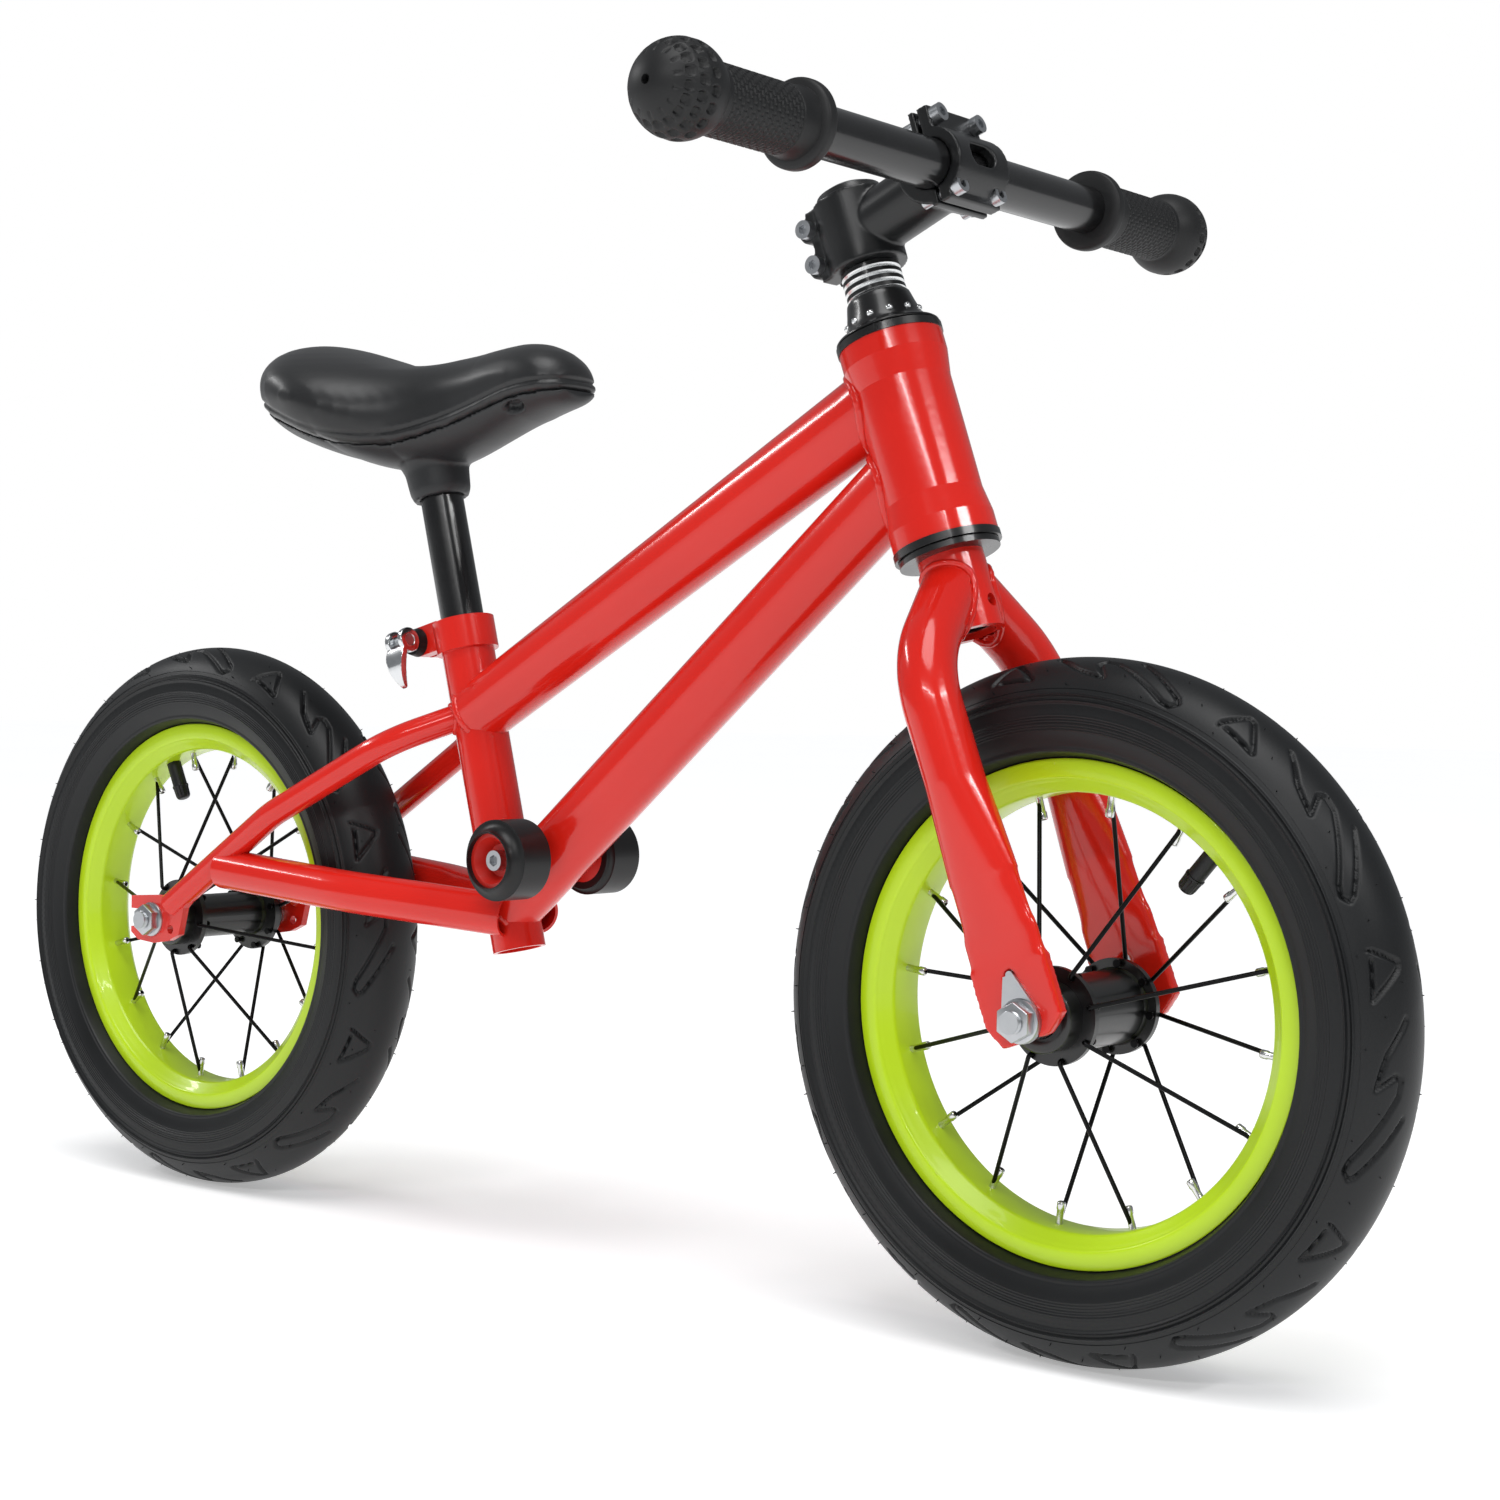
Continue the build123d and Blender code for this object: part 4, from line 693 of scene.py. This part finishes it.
# ---------------------------------------------------------------- stem
# Cast aluminium in satin black: a split clamp on the steerer, a thick neck and a bar clamp
# closed by a windowed faceplate. Casting rounds every corner, and six bright bolts hold it.
def softened(name, node, voxel, rounds):
    """A merged copy of a CAD node, remeshed at a voxel in millimetres and smoothed."""
    mesh = frame["nodes"][node].data.copy()
    merged = bmesh.new()
    merged.from_mesh(mesh)
    bmesh.ops.remove_doubles(merged, verts=merged.verts, dist=2e-6)
    merged.to_mesh(mesh)
    merged.free()
    made = link_object(name, mesh)
    cast_skin = made.modifiers.new("cast_skin", "REMESH")
    cast_skin.mode = "VOXEL"
    cast_skin.voxel_size = voxel * MM
    worn = made.modifiers.new("worn_edges", "SMOOTH")
    worn.factor = 0.5
    worn.iterations = rounds
    solid = bpy.data.meshes.new_from_object(made.evaluated_get(bpy.context.evaluated_depsgraph_get()))
    made.modifiers.clear()
    made.data = solid
    bpy.data.meshes.remove(mesh)
    solid.shade_smooth()
    solid.materials.clear()
    return made


def satin_cast(name, low, high, roughness):
    """Sprayed satin black over a cast surface, with the slight pebble of the casting."""
    material, tree, shader = new_material(name, low, roughness)
    place = add_node(tree, "ShaderNodeTexCoord")
    cloud = grain(tree, 45, 3, place)
    two_tone(tree, shader, cloud.outputs["Fac"], low, high)
    uneven_gloss(tree, shader, cloud.outputs["Fac"], roughness - 0.06, roughness + 0.1)
    relief(tree, shader, grain(tree, 1 / (1.1 * MM), 3, place).outputs["Fac"], 0.00006, 0.6)
    return material


cast_black = satin_cast("satin_cast_alloy", "#0C0D0E", "#141516", 0.3)
for name, node in (("cast_stem", "stem_body"), ("windowed_faceplate", "stem_faceplate")):
    shell = softened(name, node, 0.75, 5)
    stand_for(shell, node, "black_paint", cast_black)
give(zinc, "stem_bolts")

# ---------------------------------------------------------------- fork blades
# Round tube bent out from the crown and pressed flat at the tip, so that the round flows
# into the slotted end without a step, under the frame's red coat.
blades = softened("pressed_fork_blades", "fork_blades", 1.1, 5)
press = bmesh.new()
press.from_mesh(blades.data)
flat_start, flat_end, strokes = 25, 62, 40
flow = [vert for vert in press.verts
        if flat_start < (vert.co - steer_foot).dot(steer_up) / MM < flat_end]
for stroke in range(strokes):
    bmesh.ops.smooth_vert(press, verts=flow, factor=0.5, use_axis_x=True, use_axis_y=True,
                          use_axis_z=True)
press.to_mesh(blades.data)
press.free()
stand_for(blades, "fork_blades", "red_paint", red_coat)

# ---------------------------------------------------------------- handlebar and seat post
# Straight steel tube in gloss black, one across the stem and one down the seat tube.
tube_enamel = enamel("gloss_black_tube", "#0B0B0C", "#121213", 0.2)
give(tube_enamel, "handlebar", "seat_post")


# ---------------------------------------------------------------- grips
# Soft moulded rubber pushed on the bar: a stop flange, a fine block pattern under the palm,
# and a ball end with three rows of pockets, a fluted dome and a small vent hole.
grip_rubber = rubber("soft_grip_rubber", "#101011", "#1A1B1C", 0.48, 0.6, 0.03)
body_radius, knob_radius, knob_at = 14.65, 19.9, 78.1
bar_level, bar_forward, grip_start = 369.35, 56.0, 109.5
palm_start, palm_end, palm_pitch, palm_blocks = 17, 62, 2.5, 26
pocket_count, flute_count = 18, 14


def grip_radius(along):
    """The plain outside of the grip at a distance from its inner end."""
    if along < 7:
        return 15.6 + 3.3 * max(0.0, 1 - ((along - 3.4) / 3.6) ** 4) ** 0.5
    if along < 14:
        return body_radius + (15.6 - body_radius) * ((14 - along) / 7) ** 2
    ball = max(0.0, knob_radius ** 2 - (along - knob_at) ** 2) ** 0.5
    return max(body_radius, ball) if along < knob_at else ball


def grip_outline():
    """From the bar's skin up the inner face, along the outside and over the dome to its hole."""
    line = [(11.12, 0.3), (14.2, 0.3)]
    for along in np.linspace(0.4, knob_at, 172):
        line.append((grip_radius(along), along))
    for lean in np.radians(np.linspace(1.5, 84.2, 46)):
        line.append((knob_radius * cos(lean), min(knob_at + knob_radius * sin(lean), 97.9)))
    return line + [(1.7, 96.6), (1.6, 94.6), (0, 94.3)]


def block(value, pitch, share):
    """1 on the blocks of a row and 0 in the narrow gaps between them."""
    return np.clip((np.abs((value / pitch) % 1 - 0.5) - share / 2) / -0.06, 0, 1)


def press_grip(shape):
    """Cuts the palm pattern, the pockets and the flutes into the plain outside."""
    shape.verts.ensure_lookup_table()
    points = np.array([v.co for v in shape.verts]) / MM
    turn = np.arctan2(points[:, 1], points[:, 0])
    radius, along = np.hypot(points[:, 0], points[:, 1]), points[:, 2]
    lean = np.degrees(np.arctan2(along - knob_at, radius))
    palm = (along > palm_start) & (along < palm_end)
    row = np.floor((along - palm_start) / palm_pitch)
    across = turn * palm_blocks / (2 * pi) + 0.5 * (row % 2)
    bricks = block(along - palm_start, palm_pitch, 0.66) * block(across, 1.0, 0.8)
    sunk = np.where(palm, 0.45 * (1 - bricks), 0)
    for number, height in enumerate((2, 19, 36)):
        across = (turn * pocket_count / (2 * pi) + 0.5 * (number % 2)) % 1 - 0.5
        wide = across * 2 * pi / pocket_count * radius
        tall = radians(1) * knob_radius * (lean - height)
        away = (np.abs(wide / 2.0) ** 3 + np.abs(tall / 1.9) ** 3) ** (1 / 3)
        pocket = 1.7 * np.clip((1.15 - away) / 0.35, 0, 1)
        sunk = np.maximum(sunk, np.where(along > palm_end, pocket, 0))
    flute = np.abs((turn * flute_count / (2 * pi)) % 1 - 0.5) * 2 * pi / flute_count * radius
    reach = hump(lean, 62, 20)
    sunk = np.maximum(sunk, 1.5 * reach * hump(flute, 0, 1.2) * (along > knob_at + 4))
    solid = radius > 11.5
    for vert, depth, share in zip(shape.verts, sunk * solid, radius):
        if depth > 0:
            vert.co.xy *= (share - depth) / share


bar_centre = on_steer(bar_level, bar_forward)
for name, side in (("right", -1), ("left", 1)):
    moulded = turned(grip_outline(), 320, closed=False)
    press_grip(moulded)
    outward = Vector((0, side, 0))
    turn = Matrix((steer_forward, outward.cross(steer_forward), outward)).transposed().to_4x4()
    where = Matrix.Translation(bar_centre + Vector((0, side * grip_start * MM, 0))) @ turn
    finish_piece(f"{name}_ball_end_grip", moulded, where, f"grip_{name}", "grip_rubber", grip_rubber,
                 crease=55)

# ---------------------------------------------------------------- seat clamp lever
# A pressed chrome lever on a cam: two round cheeks and a thin crescent that tapers to a
# point and hangs down the tube when it is closed.
chrome = plated("chrome_plated_steel", "#C6C8CA", "#E4E5E6", 0.12)
black_washer = rubber("moulded_washer_plastic", "#0C0C0D", "#151516", 0.4, 0.8, 0.02)
give(black_washer, "clamp_washer")
lever = softened("crescent_cam_lever", "clamp_lever", 0.4, 3)
pin = next(joint for joint in frame["joints"] if joint["name"] == "lever_swing")
pin_at = Vector(pin["pos_m"])
taper_start, taper_length = 6, 18.5
for vert in lever.data.vertices:
    drop = (pin_at - vert.co).dot(seat_up) / MM
    if drop > taper_start:
        narrow = 1 - 0.82 * min(1.0, (drop - taper_start) / taper_length) ** 1.5
        ahead = (vert.co - pin_at).dot(seat_forward)
        vert.co += seat_forward * ahead * (narrow - 1)
stand_for(lever, "clamp_lever", "chrome_lever", chrome)

# ---------------------------------------------------------------- foot rollers
# Skate-type rollers either side of the frame's foot: black urethane on a red nylon core,
# each on a socket bolt.
urethane = rubber("cast_urethane", "#0D0D0E", "#161617", 0.36, 1.2, 0.03)
red_nylon = satin_cast("moulded_red_nylon", "#B5180F", "#C82216", 0.38)
give(urethane, "roller_tyre_right", "roller_tyre_left")
give(red_nylon, "roller_core_right", "roller_core_left")


# ---------------------------------------------------------------- saddle
# A foam pad under a seamless moulded skin, rolled over the edge of a plastic base whose
# tapered socket drops on the post. A thin groove and lip mark where the skin ends.
def leather(name, low, high, roughness):
    """Moulded polyurethane skin: soft satin black with a fine close grain."""
    material, tree, shader = new_material(name, low, roughness, Sheen_Weight=0.08, Sheen_Roughness=0.5)
    place = add_node(tree, "ShaderNodeTexCoord")
    patches = grain(tree, 18, 3, place)
    two_tone(tree, shader, patches.outputs["Fac"], low, high)
    uneven_gloss(tree, shader, patches.outputs["Fac"], roughness - 0.05, roughness + 0.08)
    # Grain cells of 0.9 mm, drawn a little coarser than the real ones so that they show.
    cells = add_node(tree, "ShaderNodeTexVoronoi", {"Scale": 1 / (0.9 * MM)},
                     {"Vector": place.outputs["Object"]}, feature="SMOOTH_F1")
    relief(tree, shader, cells.outputs["Distance"], 0.00005, 0.35)
    return material


skin = leather("moulded_saddle_skin", "#101112", "#17181A", 0.36)
base_plastic = satin_cast("moulded_saddle_base", "#151618", "#1D1F21", 0.42)
saddle_rear, saddle_foot = -224.5, 380.5
seam_points = [(-0.05, 54), (0.18, 42), (0.33, 28), (0.50, 25), (0.70, 37), (0.86, 48), (1.05, 52)]
saddle_length = 211.0
seam_x = [saddle_rear + share * saddle_length for share, height in seam_points]
seam_z = [saddle_foot + height for share, height in seam_points]


def mesh_points(mesh):
    flat = np.zeros(len(mesh.vertices) * 3)
    mesh.vertices.foreach_get("co", flat)
    return flat.reshape(-1, 3)


def mesh_normals(mesh):
    flat = np.zeros(len(mesh.vertices) * 3)
    mesh.vertices.foreach_get("normal", flat)
    return flat.reshape(-1, 3)


def set_points(mesh, points):
    mesh.vertices.foreach_set("co", points.ravel())
    mesh.update()


def inflate(pad, cap):
    """Swells the pad with cloth under pressure, keeping each point within the cap."""
    rest = mesh_points(pad.data)
    cloth = pad.modifiers.new("skin", "CLOTH")
    cloth.settings.quality = 6
    cloth.settings.mass = 0.3
    cloth.settings.tension_stiffness = 25
    cloth.settings.compression_stiffness = 25
    cloth.settings.bending_stiffness = 6
    cloth.settings.use_pressure = True
    cloth.settings.uniform_pressure_force = 4
    cloth.settings.effector_weights.gravity = 0
    for number in range(1, 21):
        bpy.context.scene.frame_set(number)
    swollen = bpy.data.meshes.new_from_object(pad.evaluated_get(bpy.context.evaluated_depsgraph_get()))
    moved = mesh_points(swollen) - rest
    pad.modifiers.clear()
    bpy.data.meshes.remove(swollen)
    bpy.context.scene.frame_set(1)
    far = np.linalg.norm(moved, axis=1)
    moved *= np.minimum(1, cap * MM / np.maximum(far, 1e-9))[:, None]
    above = rest[:, 2] / MM - np.interp(rest[:, 0] / MM, seam_x, seam_z)
    set_points(pad.data, rest + moved * np.clip((above - 2) / 8, 0, 1)[:, None])


fine_x = np.arange(seam_x[0], seam_x[-1], 1.0)
straight_z = np.interp(fine_x, seam_x, seam_z)
window = np.exp(-(np.arange(-30, 31) / 14.0) ** 2)
smooth_z = np.convolve(np.pad(straight_z, 30, mode="edge"), window / window.sum(), mode="valid")


def ease_seam(points, drop):
    """How far to lift points near the seam, so that its straight runs become one curve."""
    x, z = points[:, 0] / MM, points[:, 2] / MM
    away = z - np.interp(x, seam_x, seam_z)
    return hump(away, 0, 16) * (np.interp(x, fine_x, smooth_z) - np.interp(x, seam_x, seam_z) - drop)


cover_pad = softened("saddle_skin", "saddle_cover", 4.0, 2)
middle_of_pad = np.array(sum(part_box("saddle_cover"), Vector()) / 2)
set_points(cover_pad.data, middle_of_pad + (mesh_points(cover_pad.data) - middle_of_pad) * 0.99)
inflate(cover_pad, 2.5)
rounder = cover_pad.modifiers.new("rounder", "SUBSURF")
rounder.levels = rounder.render_levels = 2
fine = bpy.data.meshes.new_from_object(cover_pad.evaluated_get(bpy.context.evaluated_depsgraph_get()))
cover_pad.modifiers.clear()
cover_pad.data = fine
fine.shade_smooth()
points, normals = mesh_points(fine), mesh_normals(fine)
points[:, 2] += ease_seam(points, 0.9) * MM
above = points[:, 2] / MM - np.interp(points[:, 0] / MM, fine_x, smooth_z)
outward = normals.copy()
outward[:, 2] = 0
outward /= np.maximum(np.linalg.norm(outward, axis=1), 1e-6)[:, None]
side_facing = np.clip(1.4 - np.abs(normals[:, 2]) * 1.2, 0, 1)
proud = (0.7 * hump(above, 2.4, 2.4) - 1.1 * hump(above, 5.4, 1.5)) * side_facing
set_points(fine, points + outward * proud[:, None] * MM)
stand_for(cover_pad, "saddle_cover", "saddle_cover", skin)

base = softened("saddle_base_shell", "saddle_base", 1.1, 4)
points, normals = mesh_points(base.data), mesh_normals(base.data)
points[:, 2] += ease_seam(points, 0.0) * MM
along, up = points[:, 0] / MM + 43.0, points[:, 2] / MM - (saddle_foot + 42.5)
slot_depth = 4.5 * np.clip((1.2 - np.hypot(along / 5.0, (up - along * 0.25) / 2.2)) / 0.3, 0, 1)
slot_depth *= np.abs(points[:, 1] / MM) > 8
set_points(base.data, points - normals * slot_depth[:, None] * MM)
stand_for(base, "saddle_base", "saddle_base_plastic", base_plastic)
